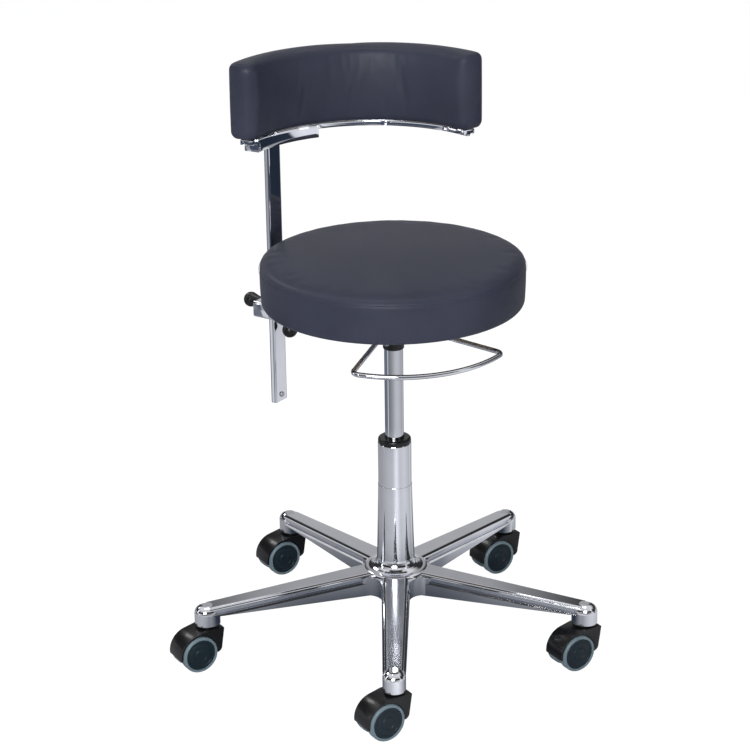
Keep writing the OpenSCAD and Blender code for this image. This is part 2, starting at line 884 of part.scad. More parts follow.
// Lever: tube on the loop's pivot side with a tongue that reaches over the release pin
module lever() {
    r = lever_tube_d / 2;
    translate([pivot_out, lever_half, pivot_z])
        rotate([90, 0, 0])
            cylinder(r = r, h = 2 * lever_half);
    translate([0, tongue_w / 2, 0])
        rotate([90, 0, 0])
            linear_extrude(height = tongue_w)
                polygon([
                    [-tongue_back, tongue_z],
                    [tongue_flat - tongue_back, tongue_z],
                    [pivot_out - r / 2, pivot_z],
                    [pivot_out + r / 2, pivot_z],
                    [pivot_out, pivot_z + r / 2],
                    [tongue_flat - tongue_back + tongue_t, tongue_z + tongue_t],
                    [-tongue_back, tongue_z + tongue_t]
                ]);
}

module release_loop() {
    color(chrome)
        at_loop() {
            translate([pivot_out, 0, pivot_z])
                rotate([0, loop_droop, 0])
                    translate([-pivot_out, 0, 0])
                        loop_wire();
            lever();
        }
}

module release_pin() {
    r = button_d / 2;
    color(steel)
        rotate_extrude()
            polygon([
                [0, button_top_z - button_len],
                [r, button_top_z - button_len],
                [r, button_top_z - bevel],
                [r - bevel, button_top_z],
                [0, button_top_z]
            ]);
}

// Modules of the arm

module arm_tube() {
    color(chrome)
        at_arm()
            translate([arm_in_r, 0, arm_z])
                rotate([90, 0, 90])
                    linear_extrude(height = post_r - clamp_in - arm_in_r)
                        difference() {
                            round_rect(arm_w, arm_h, arm_wall);
                            square([arm_w - 2 * arm_wall, arm_h - 2 * arm_wall], center = true);
                        }
}

module post_clamp() {
    color(chrome)
        at_arm()
            difference() {
                translate([post_r - clamp_in, 0, arm_z - clamp_drop])
                    rotate([90, 0, 90])
                        linear_extrude(height = clamp_in + clamp_out)
                            round_rect(clamp_w, clamp_h, clamp_edge_r);
                translate([post_r, 0, arm_z - clamp_h])
                    linear_extrude(height = 2 * clamp_h)
                        square([post_t + 2 * slot_gap, post_w + 2 * slot_gap], center = true);
                translate([post_r, 0, arm_z + clamp_knob_up])
                    rotate([0, 90, 0])
                        cylinder(r = stud_d / 2 + fit_gap, h = clamp_out + over);
            }
}

// Round hand knob on local +Z, neck at the origin, with grip flutes
module knob_head(knob_neck) {
    r = knob_d / 2;
    difference() {
        rotate_extrude()
            polygon(concat(
                [[0, 0], [knob_neck_d / 2 - bevel, 0], [knob_neck_d / 2, bevel]],
                arc_points(0, knob_neck + r / 2, r, -28, 62, 10),
                [[0, knob_neck + r / 2 + r * sin(62)]]
            ));
        for (i = [0 : knob_flutes - 1])
            rotate([0, 0, i * 360 / knob_flutes])
                translate([r + knob_flute_d / 4, 0, 0])
                    cylinder(d = knob_flute_d, h = knob_neck + 2 * r, $fn = 24);
        translate([0, 0, -over])
            cylinder(r = stud_d / 2 + fit_gap, h = stud_in_knob + over);
    }
}

// Threaded stud of a knob, tip at z = -reach
module knob_stud(reach) {
    translate([0, 0, -reach])
        cylinder(d1 = stud_d - 2 * bevel, d2 = stud_d, h = bevel);
    translate([0, 0, bevel - reach])
        cylinder(d = stud_d, h = reach - bevel + stud_in_knob);
}

// Frame of the arm's knob, below the guide
module at_arm_knob() {
    at_arm()
        translate([arm_knob_r, 0, arm_z - guide_h / 2 - guide_wall - run_gap])
            rotate([180, 0, 0])
                children();
}

// Frame of the post's knob, outside the clamp
module at_post_knob() {
    at_arm()
        translate([post_r + clamp_out + run_gap, 0, arm_z + clamp_knob_up])
            rotate([0, 90, 0])
                children();
}

module arm_knob() {
    color(black)
        at_arm_knob()
            knob_head(arm_knob_neck);
}

module arm_knob_stud() {
    color(steel)
        at_arm_knob()
            knob_stud(guide_h / 2 + guide_wall + run_gap - arm_h / 2 - stud_tip);
}

module post_knob() {
    color(black)
        at_post_knob()
            knob_head(post_knob_neck);
}

module post_knob_stud() {
    color(steel)
        at_post_knob()
            knob_stud(clamp_out + run_gap - post_t / 2 - stud_tip);
}

// Modules of the post

module post() {
    color(chrome)
        at_arm()
            translate([post_r, 0, post_foot_z])
                difference() {
                    linear_extrude(height = post_len)
                        round_rect(post_t, post_w, post_edge_r);
                    translate([-post_t, 0, stop_up])
                        rotate([0, 90, 0])
                            cylinder(r = stop_d / 2 + fit_gap, h = 2 * post_t);
                }
}

module post_stop() {
    color(steel)
        at_arm()
            translate([post_r - post_t / 2, 0, post_foot_z + stop_up])
                rotate([0, -90, 0]) {
                    cylinder(d1 = stop_head_d, d2 = stop_head_d - 2 * bevel, h = stop_head_h);
                    translate([0, 0, -post_t])
                        cylinder(d = stop_d, h = post_t + stop_head_h / 2);
                }
}

// Curved holder on the post: inner cheek and a key that runs in the rail's slot
module rail_holder() {
    in_r = rail_r - rail_w / 2 - rail_gap - holder_cheek_t;
    cheek_r = in_r + holder_cheek_t;
    top_z = holder_z + holder_h;
    key = slot_w / 2 - rail_gap;
    head = cave_w / 2 - rail_gap;
    head_z = rail_z + slot_lip + rail_gap;
    head_top_z = rail_z + slot_lip + cave_h - rail_gap;
    screw_r = end_screw_d / 2 + fit_gap;
    color(chrome)
        at_rail(holder_turn)
            difference() {
                sector(holder_span / 2)
                    polygon([
                        [in_r, holder_z],
                        [rail_r + rail_w / 2, holder_z],
                        [rail_r + rail_w / 2, top_z],
                        [slot_r + key, top_z],
                        [slot_r + key, head_z],
                        [slot_r + head, head_z],
                        [slot_r + head, head_top_z],
                        [slot_r - head, head_top_z],
                        [slot_r - head, head_z],
                        [slot_r - key, head_z],
                        [slot_r - key, top_z],
                        [cheek_r, top_z],
                        [cheek_r, top_z + holder_cheek_h],
                        [in_r, top_z + holder_cheek_h]
                    ]);
                at_holder_screw()
                    cylinder(r = screw_r, h = 2 * end_screw_len + run_gap, center = true);
            }
}

// Frame of the screw near the holder's left end, local +Z into the holder's inner face
module at_holder_screw() {
    rotate([0, 0, holder_span / 2 - asin(end_screw_in / rail_r)])
        translate([rail_r - rail_w / 2 - rail_gap - holder_cheek_t, 0, holder_z + end_screw_up])
            rotate([0, 90, 0])
                children();
}

module holder_screw() {
    head_d = end_screw_head_d;
    head_h = end_screw_head_h;
    color(steel)
        at_rail(holder_turn)
            at_holder_screw() {
                translate([0, 0, -seat_off - head_h])
                    cylinder(d1 = head_d - 2 * bevel, d2 = head_d, h = head_h);
                translate([0, 0, -head_h / 2])
                    cylinder(d = end_screw_d, h = head_h / 2 + end_screw_len);
            }
}

// Modules of the back pad

// Frames of the screws in the rail's inner face, local +Z outwards
module at_pad_screws() {
    for (turn = pad_screw_turns)
        rotate([0, 0, turn])
            translate([rail_r - rail_w / 2 + seat_off, 0, rail_z + rail_h / 2])
                rotate([0, 90, 0])
                    children();
}

// Curved bar with a slot below for the holder's key and a groove above for the core
module pad_rail() {
    in_r = rail_r - rail_w / 2;
    out_r = rail_r + rail_w / 2;
    cave_z = rail_z + slot_lip;
    groove_in = core_in_r - fit_gap;
    groove_out = core_in_r + core_t + fit_gap;
    groove_z = rail_z + core_drop - fit_gap;
    head_r = pad_screw_head_d / 2 + fit_gap;
    hole_r = pad_screw_d / 2 + fit_gap;
    color(chrome)
        at_rail(pad_turn)
            difference() {
                sector(rail_half)
                    polygon([
                        [in_r, rail_z],
                        [slot_r - slot_w / 2, rail_z],
                        [slot_r - slot_w / 2, cave_z],
                        [slot_r - cave_w / 2, cave_z],
                        [slot_r - cave_w / 2, cave_z + cave_h],
                        [slot_r + cave_w / 2, cave_z + cave_h],
                        [slot_r + cave_w / 2, cave_z],
                        [slot_r + slot_w / 2, cave_z],
                        [slot_r + slot_w / 2, rail_z],
                        [out_r, rail_z],
                        [out_r, rail_top_z],
                        [in_r, rail_top_z]
                    ]);
                sector(core_half + asin(run_gap / core_in_r))
                    translate([groove_in, groove_z])
                        square([groove_out - groove_in, rail_h]);
                at_pad_screws() {
                    translate([0, 0, -over])
                        cylinder(r = head_r, h = over);
                    cylinder(r1 = head_r, r2 = hole_r, h = pad_screw_head_h);
                    cylinder(r = hole_r, h = pad_screw_len);
                }
            }
}

// End stops below the rail, one at each end
module rail_stops() {
    color(steel)
        at_rail(pad_turn)
            for (side = [-1, 1])
                rotate([0, 0, side * stop_half])
                    translate([rail_r, 0, rail_z - stop_head_h])
                        cylinder(r = stop_r, h = stop_head_h);
}

// Curved steel plate inside the pad, standing in the rail's groove
module pad_core() {
    color(steel)
        at_rail(pad_turn)
            difference() {
                sector(core_half)
                    translate([core_in_r, rail_z + core_drop])
                        square([core_t, pad_z + pad_h - core_top_in - rail_z - core_drop]);
                at_pad_screws()
                    cylinder(r = pad_screw_d / 2 + fit_gap, h = pad_screw_len);
            }
}

module pad_screws() {
    color(chrome)
        at_rail(pad_turn)
            at_pad_screws() {
                cylinder(d1 = pad_screw_head_d, d2 = pad_screw_d, h = pad_screw_head_h);
                translate([0, 0, pad_screw_head_h / 2])
                    cylinder(d = pad_screw_d, h = pad_screw_len - pad_screw_head_h / 2 - run_gap);
            }
}

// Inset of a rounded end of radius r, at distance s from the end
function end_inset(r, s) = s >= r ? 0 : r - sqrt(r * r - (r - s) * (r - s));

// Distances of the pad's sections from its end, near the end
pad_end_shares = [0, 0.06, 0.2, 0.42, 0.7, 1];

// Section of the pad at distance s from its end: points (radius, height)
function pad_section(s) = let (
    in_t = end_inset(pad_end_r, s),
    in_h = end_inset(pad_corner_r, s),
    r0 = pad_in_r + in_t,
    r1 = pad_in_r + pad_t - in_t,
    z0 = pad_z + in_h,
    z1 = pad_z + pad_h - in_h,
    e = min(pad_edge_r, (r1 - r0) / 2.05),
    crown = min(1, s / (4 * pad_edge_r)),
    n = 4
) concat(
    [for (p = arc_points(r1 - e, z0 + e, e, -90, 0, n)) p],
    [[r1 + pad_back_bulge * crown, (z0 + z1) / 2]],
    [for (p = arc_points(r1 - e, z1 - e, e, 0, 90, n)) p],
    [for (p = arc_points(r0 + e, z1 - e, e, 90, 180, n)) p],
    [[r0 - pad_bulge * crown * 0.7, z0 + (z1 - z0) * 0.74],
     [r0 - pad_bulge * crown, (z0 + z1) / 2],
     [r0 - pad_bulge * crown * 0.7, z0 + (z1 - z0) * 0.26]],
    [for (p = arc_points(r0 + e, z0 + e, e, 180, 270, n)) p]
);

// Distances of all sections from the pad's left end, along its middle
pad_run = 2 * pad_half * PI / 180 * pad_mid_r;
pad_inner_steps = 22;
pad_stations = concat(
    [for (share = pad_end_shares) share * pad_end_r],
    [for (i = [1 : pad_inner_steps - 1]) pad_end_r + (pad_run - 2 * pad_end_r) * i / pad_inner_steps],
    [for (i = [len(pad_end_shares) - 1 : -1 : 0]) pad_run - pad_end_shares[i] * pad_end_r]
);

// Upholstery of the back pad, swept along its arc
module pad_body() {
    m = len(pad_section(0));
    n = len(pad_stations);
    points = [
        for (s = pad_stations)
            let (turn = pad_half - s / pad_mid_r * 180 / PI)
                for (p = pad_section(min(s, pad_run - s)))
                    [p[0] * cos(turn), p[0] * sin(turn), p[1]]
    ];
    sides = [
        for (i = [0 : n - 2], j = [0 : m - 1])
            let (a = i * m + j, b = i * m + (j + 1) % m, c = a + m, d = b + m)
                each [[a, b, d], [a, d, c]]
    ];
    caps = concat(
        [for (j = [1 : m - 2]) [0, j + 1, j]],
        [for (j = [1 : m - 2]) [(n - 1) * m, (n - 1) * m + j, (n - 1) * m + j + 1]]
    );
    polyhedron(points = points, faces = concat(sides, caps));
}

module pad_cushion() {
    color(leather)
        at_rail(pad_turn)
            difference() {
                pad_body();
                sector(core_half + asin(run_gap / core_in_r))
                    translate([core_in_r - run_gap, pad_z - over])
                        square([core_t + 2 * run_gap, pad_h - core_top_in + over + run_gap]);
            }
}

// Modules of the castors

module castor_stem(i) {
    color(steel)
        at_castor(i)
            translate([0, 0, hood_top_z + run_gap])
                rotate_extrude()
                    polygon([
                        [0, -pivot_len],
                        [pivot_d / 2 - bevel, -pivot_len],
                        [pivot_d / 2, bevel - pivot_len],
                        [pivot_d / 2, 0],
                        [flange_d / 2, 0],
                        [flange_d / 2, flange_t],
                        [stem_d / 2, flange_t],
                        [stem_d / 2, flange_t + stem_len - bevel],
                        [stem_d / 2 - bevel, flange_t + stem_len],
                        [0, flange_t + stem_len]
                    ]);
}

// Side outline of the hood in the plane through stem and wheel centre
module hood_outline() {
    foot = axle_z - hood_skirt;
    low = hood_front - hood_front_in - hood_corner_r;
    up = hood_top_z - axle_z;
    along = castor_trail - hood_flat;
    touch = atan2(up, along) + acos(hood_r / sqrt(up * up + along * along));
    touch_r = hood_r - fit_gap;
    difference() {
        union() {
            translate([-castor_trail, axle_z])
                circle(r = hood_r);
            polygon(concat(
                [[-castor_trail, foot]],
                arc_points(low, foot + hood_corner_r, hood_corner_r, 270, 360, 6),
                arc_points(hood_front - hood_front_r, hood_top_z - hood_front_r, hood_front_r, 0, 90, 4),
                [[-hood_flat, hood_top_z]],
                [[touch_r * cos(touch) - castor_trail, axle_z + touch_r * sin(touch)]],
                [[-castor_trail, axle_z]]
            ));
        }
        translate([-castor_trail - 2 * hood_r, foot - 2 * hood_r])
            square([4 * hood_r, 2 * hood_r]);
    }
}

module castor_hood(i) {
    pocket_r = wheel_d / 2 + wheel_run;
    color(black)
        at_castor(i)
            difference() {
                union() {
                    translate([0, hood_half, 0])
                        rotate([90, 0, 0])
                            linear_extrude(height = 2 * hood_half)
                                hood_outline();
                    translate([-castor_trail, hood_web / 2, axle_z])
                        rotate([90, 0, 0])
                            cylinder(d = wheel_hub_d, h = hood_web);
                }
                for (side = [0, 1])
                    mirror([0, side, 0])
                        translate([-castor_trail, hood_web / 2, axle_z])
                            rotate([-90, 0, 0])
                                cylinder(r = pocket_r, h = hood_half);
                translate([-castor_trail, hood_half + over, axle_z])
                    rotate([90, 0, 0])
                        cylinder(r = axle_d / 2 + fit_gap, h = 2 * hood_half + 2 * over);
                translate([0, 0, hood_top_z - pivot_len])
                    cylinder(r = pivot_d / 2 + fit_gap, h = pivot_len + over);
            }
}

module castor_axle(i) {
    color(steel)
        at_castor(i)
            translate([-castor_trail, axle_len / 2, axle_z])
                rotate([90, 0, 0])
                    cylinder(d = axle_d, h = axle_len);
}

// Wheel section: soft tyre, sunk disc, hub with the axle's blind bore
module wheel(i, side) {
    r = wheel_d / 2;
    bore = axle_d / 2 + fit_gap;
    y0 = hood_web / 2 + wheel_side_gap;
    y1 = y0 + wheel_w;
    face = y1 - disc_sink;
    bore_end = axle_len / 2 + run_gap;
    color(slate)
        at_castor(i)
            translate([-castor_trail, 0, axle_z])
                rotate([side * 90, 0, 0])
                    rotate_extrude()
                        polygon(concat(
                            [[bore, y0], [wheel_hub_d / 2, y0], [wheel_hub_d / 2, face - wheel_web]],
                            [[r - tyre_t, face - wheel_web], [r - tyre_t, y0]],
                            arc_points(r - tyre_edge_r, y0 + tyre_edge_r, tyre_edge_r, 270, 360, 4),
                            arc_points(r - tyre_edge_r, y1 - tyre_edge_r, tyre_edge_r, 0, 90, 4),
                            [[r - tyre_t + bevel, y1], [r - tyre_t, face]],
                            [[wheel_hub_d / 2, face + bevel / 2], [0, face + bevel / 2]],
                            [[0, bore_end], [bore, bore_end]]
                        ));
}

module castor1_stem() { castor_stem(0); }
module castor1_hood() { castor_hood(0); }
module castor1_axle() { castor_axle(0); }
module castor1_wheel_a() { wheel(0, 1); }
module castor1_wheel_b() { wheel(0, -1); }
module castor2_stem() { castor_stem(1); }
module castor2_hood() { castor_hood(1); }
module castor2_axle() { castor_axle(1); }
module castor2_wheel_a() { wheel(1, 1); }
module castor2_wheel_b() { wheel(1, -1); }
module castor3_stem() { castor_stem(2); }
module castor3_hood() { castor_hood(2); }
module castor3_axle() { castor_axle(2); }
module castor3_wheel_a() { wheel(2, 1); }
module castor3_wheel_b() { wheel(2, -1); }
module castor4_stem() { castor_stem(3); }
module castor4_hood() { castor_hood(3); }
module castor4_axle() { castor_axle(3); }
module castor4_wheel_a() { wheel(3, 1); }
module castor4_wheel_b() { wheel(3, -1); }
module castor5_stem() { castor_stem(4); }
module castor5_hood() { castor_hood(4); }
module castor5_axle() { castor_axle(4); }
module castor5_wheel_a() { wheel(4, 1); }
module castor5_wheel_b() { wheel(4, -1); }

star_base();
column_tube();
guide_collar();
piston_rod();
thrust_bearing();
rod_clip();
gas_cylinder();
cone_cap();
seat_carrier();
seat_board();
seat_cushion();
seat_screws();
release_loop();
release_pin();
arm_tube();
post_clamp();
arm_knob();
arm_knob_stud();
post_knob();
post_knob_stud();
post();
post_stop();
rail_holder();
holder_screw();
pad_rail();
rail_stops();
pad_core();
pad_cushion();
pad_screws();
castor1_stem();
castor1_hood();
castor1_axle();
castor1_wheel_a();
castor1_wheel_b();
castor2_stem();
castor2_hood();
castor2_axle();
castor2_wheel_a();
castor2_wheel_b();
castor3_stem();
castor3_hood();
castor3_axle();
castor3_wheel_a();
castor3_wheel_b();
castor4_stem();
castor4_hood();
castor4_axle();
castor4_wheel_a();
castor4_wheel_b();
castor5_stem();
castor5_hood();
castor5_axle();
castor5_wheel_a();
castor5_wheel_b();
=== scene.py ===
import json
import logging
from contextlib import contextmanager
from dataclasses import dataclass, field
from enum import Enum
from functools import lru_cache
from math import atan2, cos, exp, hypot, pi, radians, sin, sqrt
from typing import Callable, Dict, Iterator, List, Optional, Sequence, Tuple

import bmesh
import bpy
import numpy as np
from mathutils import Matrix, Vector


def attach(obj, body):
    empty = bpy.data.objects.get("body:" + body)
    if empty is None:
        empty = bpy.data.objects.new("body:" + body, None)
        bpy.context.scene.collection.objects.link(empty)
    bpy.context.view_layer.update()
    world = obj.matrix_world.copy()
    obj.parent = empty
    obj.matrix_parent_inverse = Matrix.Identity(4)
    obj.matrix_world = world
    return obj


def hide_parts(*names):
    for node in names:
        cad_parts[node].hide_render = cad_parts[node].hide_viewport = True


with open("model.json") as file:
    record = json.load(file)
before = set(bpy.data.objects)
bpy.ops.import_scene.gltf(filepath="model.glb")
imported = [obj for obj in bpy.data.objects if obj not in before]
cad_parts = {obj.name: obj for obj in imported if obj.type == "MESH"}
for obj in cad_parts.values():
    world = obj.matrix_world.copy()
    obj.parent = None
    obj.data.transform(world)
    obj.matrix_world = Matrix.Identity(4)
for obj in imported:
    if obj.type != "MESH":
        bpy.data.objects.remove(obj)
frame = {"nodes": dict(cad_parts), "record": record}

# A doctors chair: round padded seat on a gas lift, five-leg castor base,
# and a curved back pad that slides on a rail carried by a clamped post.
# Lengths in this file are written in millimetres and turned into metres by MM.

MM = 0.001
LOG = logging.getLogger("doctors_chair")
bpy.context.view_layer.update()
Point = Tuple[float, float, float]
Colour = Tuple[float, float, float]
Tint = Tuple[float, float, float, float]
Pair = Tuple[float, float]
Stops = Tuple[Pair, ...]
Shares = Tuple[float, ...]
Rings = List[List[int]]
Tree = bpy.types.NodeTree
Node = bpy.types.Node
Socket = bpy.types.NodeSocket
Piece = bpy.types.Object


# Meshes

# Lengths in millimetres, angles in degrees.
ON_AXIS = 1e-6
JOIN_WITHIN = 0.002
FLAT_WITHIN = 0.4
EDGE_ANGLE = 28.0
CREASE_ANGLE = 32.0
ROUNDED_CREASE_ANGLE = 40.0


def put(name: str, data: bpy.types.ID) -> Piece:
    """Makes an object of some data and links it to the scene.

    Args:
        name: The object's name.
        data: Its mesh, camera or light.

    Returns:
        The object.
    """
    piece = bpy.data.objects.new(name, data)
    bpy.context.scene.collection.objects.link(piece)
    return piece


@contextmanager
def edited(mesh: bpy.types.Mesh) -> Iterator[bmesh.types.BMesh]:
    """Opens a mesh for editing and writes the result back.

    Args:
        mesh: The mesh.

    Yields:
        The mesh as bmesh.
    """
    work = bmesh.new()
    work.from_mesh(mesh)
    yield work
    work.to_mesh(mesh)
    work.free()


def around(r: float, a: float, z: float = 0.0) -> Point:
    """The point at a radius, an angle in radians and a height."""
    return (r * cos(a), r * sin(a), z)


class Shading(Enum):
    """How a mesh's faces meet in the light."""
    SMOOTH = "smooth"
    CREASED = "creased"


@dataclass
class Skin:
    """Collects the corners and faces of one mesh, in millimetres."""
    corners: List[Point] = field(default_factory=list)
    faces: List[Tuple[int, ...]] = field(default_factory=list)

    def add_ring(self, points: Sequence[Point]) -> List[int]:
        """Adds corners and gives their places in the list."""
        self.corners.extend(points)
        return list(range(len(self.corners) - len(points), len(self.corners)))

    def bridge(self, a: Sequence[int], b: Sequence[int]) -> None:
        """Joins two closed rings of equal length with four-sided faces."""
        count = len(a)
        self.faces.extend((a[i], a[(i + 1) % count], b[(i + 1) % count], b[i]) for i in range(count))

    def loft(self, rings: Rings) -> None:
        """Joins each ring of a row to the next."""
        for a, b in zip(rings, rings[1:]):
            self.bridge(a, b)

    def cap(self, rings: Rings) -> None:
        """Closes a row of rings with one face at each end."""
        self.faces.append(tuple(reversed(rings[0])))
        self.faces.append(tuple(rings[-1]))

    def fan(self, ring: Sequence[int], tip: Point, flip: bool = False) -> None:
        """Closes a ring with triangles that meet in one corner.

        Args:
            ring: Indices of the ring.
            tip: The corner in the middle.
            flip: Whether the triangles turn the other way.
        """
        centre = self.add_ring([tip])[0]
        for i in range(len(ring)):
            j = (i + 1) % len(ring)
            self.faces.append((ring[j], ring[i], centre) if flip else (ring[i], ring[j], centre))

    def build(self, name: str, shading: Shading = Shading.SMOOTH, place: Optional[Matrix] = None) -> Piece:
        """Makes the Blender object.

        Args:
            name: The piece's name.
            shading: Smooth all over, or creased at sharp angles.
            place: Where the local shape stands, in millimetres.

        Returns:
            The new object, linked to the scene.
        """
        points = [Vector(c) for c in self.corners]
        if place is not None:
            points = [place @ p for p in points]
        mesh = bpy.data.meshes.new(name)
        mesh.from_pydata([tuple(p * MM) for p in points], [], self.faces)
        mesh.validate()
        mesh.update()
        piece = put(name, mesh)
        with edited(mesh) as work:
            bmesh.ops.recalc_face_normals(work, faces=work.faces)
        if shading is Shading.SMOOTH:
            mesh.shade_smooth()
        else:
            crease(mesh, CREASE_ANGLE)
        return piece


def crease(mesh: bpy.types.Mesh, angle: float) -> None:
    """Shades a mesh smooth except where faces meet at more than an angle.

    Args:
        mesh: The mesh.
        angle: The angle in degrees.
    """
    limit = radians(angle)
    with edited(mesh) as work:
        for face in work.faces:
            face.smooth = True
        for edge in work.edges:
            edge.smooth = len(edge.link_faces) == 2 and edge.calc_face_angle(0.0) < limit


def arc(cx: float, cy: float, r: float, a0: float, a1: float, steps: int) -> List[Pair]:
    """Points of an arc round (cx, cy) from a0 to a1 degrees, both ends included."""
    angles = [radians(a0 + (a1 - a0) * i / steps) for i in range(steps + 1)]
    return [(cx + r * cos(a), cy + r * sin(a)) for a in angles]


def between(a: float, b: float, steps: int) -> List[float]:
    """Even values from a to b, both included."""
    return [a + (b - a) * i / steps for i in range(steps + 1)]


def revolve(profile: Sequence[Pair], segments: int, hexagon: float = 0.0) -> Skin:
    """Turns a profile of (radius, height) round the Z axis.

    Args:
        profile: The points from one end of the shape to the other.
        segments: Steps round the axis.
        hexagon: Profile radii up to this size become six-sided.

    Returns:
        The skin, with its ends on the axis closed by fans.
    """
    skin = Skin()
    rings: Rings = []
    for r, z in profile:
        if r <= ON_AXIS:
            continue
        ring = []
        for i in range(segments):
            a = 2 * pi * i / segments
            flat = r
            if r <= hexagon:
                flat = r * cos(pi / 6) / cos((a % (pi / 3)) - pi / 6)
            ring.append(around(flat, a, z))
        rings.append(skin.add_ring(ring))
    skin.loft(rings)
    if profile[0][0] <= ON_AXIS:
        skin.fan(rings[0], (0.0, 0.0, profile[0][1]), flip=True)
    if profile[-1][0] <= ON_AXIS:
        skin.fan(rings[-1], (0.0, 0.0, profile[-1][1]))
    return skin


def frame_along(origin: Sequence[float], out: Sequence[float]) -> Matrix:
    """A placing matrix at an origin in millimetres, whose local Z points out."""
    return Matrix.Translation(Vector(origin)) @ Vector(out).to_track_quat("Z", "Y").to_matrix().to_4x4()


def softened(node: str, name: str, width: float, steps: int = 2) -> Piece:
    """A copy of a CAD node's shape with its sharp edges rounded.

    Args:
        node: The CAD node.
        name: The new piece's name.
        width: Width of the rounding, in millimetres.
        steps: Faces across the rounding.

    Returns:
        The new object.
    """
    mesh = frame["nodes"][node].data.copy()
    mesh.name = name
    mesh.materials.clear()
    piece = put(name, mesh)
    with edited(mesh) as work:
        bmesh.ops.remove_doubles(work, verts=work.verts, dist=JOIN_WITHIN * MM)
        bmesh.ops.dissolve_limit(work, angle_limit=radians(FLAT_WITHIN), verts=work.verts, edges=work.edges)
        for layer in list(work.loops.layers.uv):
            work.loops.layers.uv.remove(layer)
    if "custom_normal" in mesh.attributes:
        mesh.attributes.remove(mesh.attributes["custom_normal"])
    bevel = piece.modifiers.new("rounding", "BEVEL")
    bevel.width = width * MM
    bevel.segments = steps
    bevel.limit_method = "ANGLE"
    bevel.angle_limit = radians(EDGE_ANGLE)
    bevel.use_clamp_overlap = True
    bevel.harden_normals = False
    rounded = bpy.data.meshes.new_from_object(piece.evaluated_get(bpy.context.evaluated_depsgraph_get()))
    piece.modifiers.clear()
    piece.data = rounded
    crease(rounded, ROUNDED_CREASE_ANGLE)
    return piece


def settle(piece: Piece, body: str, finish: "Finish", nodes: Sequence[str] = ()) -> Piece:
    """Gives a piece its body, its finish and the CAD nodes it stands for.

    Args:
        piece: The piece.
        body: The CAD body it rides on.
        finish: Its finish.
        nodes: CAD nodes it replaces.

    Returns:
        The same piece.
    """
    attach(piece, body)
    if nodes:
        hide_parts(*nodes)
    piece.data.materials.clear()
    piece.data.materials.append(finish.material())
    LOG.info("%s rides on %s in %s", piece.name, body, finish.name)
    return piece


# Shader nodes

def feed(tree: Tree, node: Node, **values: object) -> None:
    """Fills a node's inputs.

    Args:
        tree: The tree it stands in.
        node: The node.
        values: A number, colour or joined socket for each input. The input is named with underscores
            for spaces, or by its place in the list after one underscore.
    """
    for label, value in values.items():
        entry = node.inputs[int(label[1:]) if label[1:].isdigit() else label.replace("_", " ")]
        if isinstance(value, Socket):
            tree.links.new(value, entry)
        else:
            entry.default_value = value


def add_node(tree: Tree, kind: str, **values: object) -> Node:
    """Adds a shader node and sets it up.

    Args:
        tree: The tree it goes into.
        kind: The node's kind, without its ShaderNode prefix.
        values: Settings of the node, or what feeds its inputs.

    Returns:
        The node.
    """
    node = tree.nodes.new("ShaderNode" + kind)
    for label, value in values.items():
        if hasattr(node, label):
            setattr(node, label, value)
        else:
            feed(tree, node, **{label: value})
    return node


def choose(tree: Tree, question: Socket, no: Socket, yes: Socket) -> Socket:
    """Gives the shader no where the question is 0, and yes where it is 1."""
    return add_node(tree, "MixShader", _0=question, _1=no, _2=yes).outputs[0]


def blend(tree: Tree, share: Socket, no: object, yes: object) -> Socket:
    """Mixes two colours or sockets, of which yes has the share."""
    return add_node(tree, "Mix", data_type="RGBA", _0=share, _6=no, _7=yes).outputs[2]


def fade(tree: Tree, value: Socket, zone: Pair) -> Socket:
    """Rises smoothly from 0 to 1 over a zone of a value."""
    ends = {"From_Min": zone[0], "From_Max": zone[1]}
    return add_node(tree, "MapRange", interpolation_type="SMOOTHSTEP", Value=value, **ends).outputs["Result"]


def open_group(name: str, inputs: Dict[str, float], outputs: Sequence[str]) -> Tuple[Tree, Node, Node]:
    """Starts a node group that takes a place and some numbers and gives numbers.

    Args:
        name: The group's name.
        inputs: Default of each number it takes.
        outputs: Name of each number it gives.

    Returns:
        The tree, its input node and its output node.
    """
    tree = bpy.data.node_groups.new(name, "ShaderNodeTree")
    add = tree.interface.new_socket
    add(name="Vector", in_out="INPUT", socket_type="NodeSocketVector")
    for label, value in inputs.items():
        add(name=label, in_out="INPUT", socket_type="NodeSocketFloat").default_value = value
    for label in outputs:
        add(name=label, in_out="OUTPUT", socket_type="NodeSocketFloat")
    return tree, tree.nodes.new("NodeGroupInput"), tree.nodes.new("NodeGroupOutput")


@lru_cache(maxsize=None)
def pebble_grain() -> Tree:
    """Leather grain: pebbles with creases between them.

    Returns:
        The group, with Height and Tone outputs.
    """
    tree, start, end = open_group("pebble_grain", {"Scale": 700.0, "Crease": 0.3}, ("Height", "Tone"))
    place, scale, width = (start.outputs[label] for label in ("Vector", "Scale", "Crease"))
    warp = add_node(tree, "TexNoise", Vector=place, Scale=260.0, Detail=2.0).outputs["Color"]
    shift = add_node(tree, "VectorMath", operation="MULTIPLY_ADD", _0=warp, _1=(0.0012,) * 3, _2=place)
    cells = add_node(tree, "TexVoronoi", feature="DISTANCE_TO_EDGE", Vector=shift.outputs[0], Scale=scale)
    pebbles = add_node(
        tree, "MapRange", interpolation_type="SMOOTHSTEP", Value=cells.outputs["Distance"], From_Max=width,
    ).outputs["Result"]
    fine = add_node(tree, "TexNoise", Vector=place, Scale=1900.0, Detail=3.0).outputs["Fac"]
    height = add_node(tree, "Math", operation="MULTIPLY_ADD", _0=fine, _1=0.25, _2=pebbles).outputs[0]
    tone = add_node(tree, "TexNoise", Vector=place, Scale=9.0, Detail=5.0).outputs["Fac"]
    feed(tree, end, Height=height, Tone=tone)
    return tree


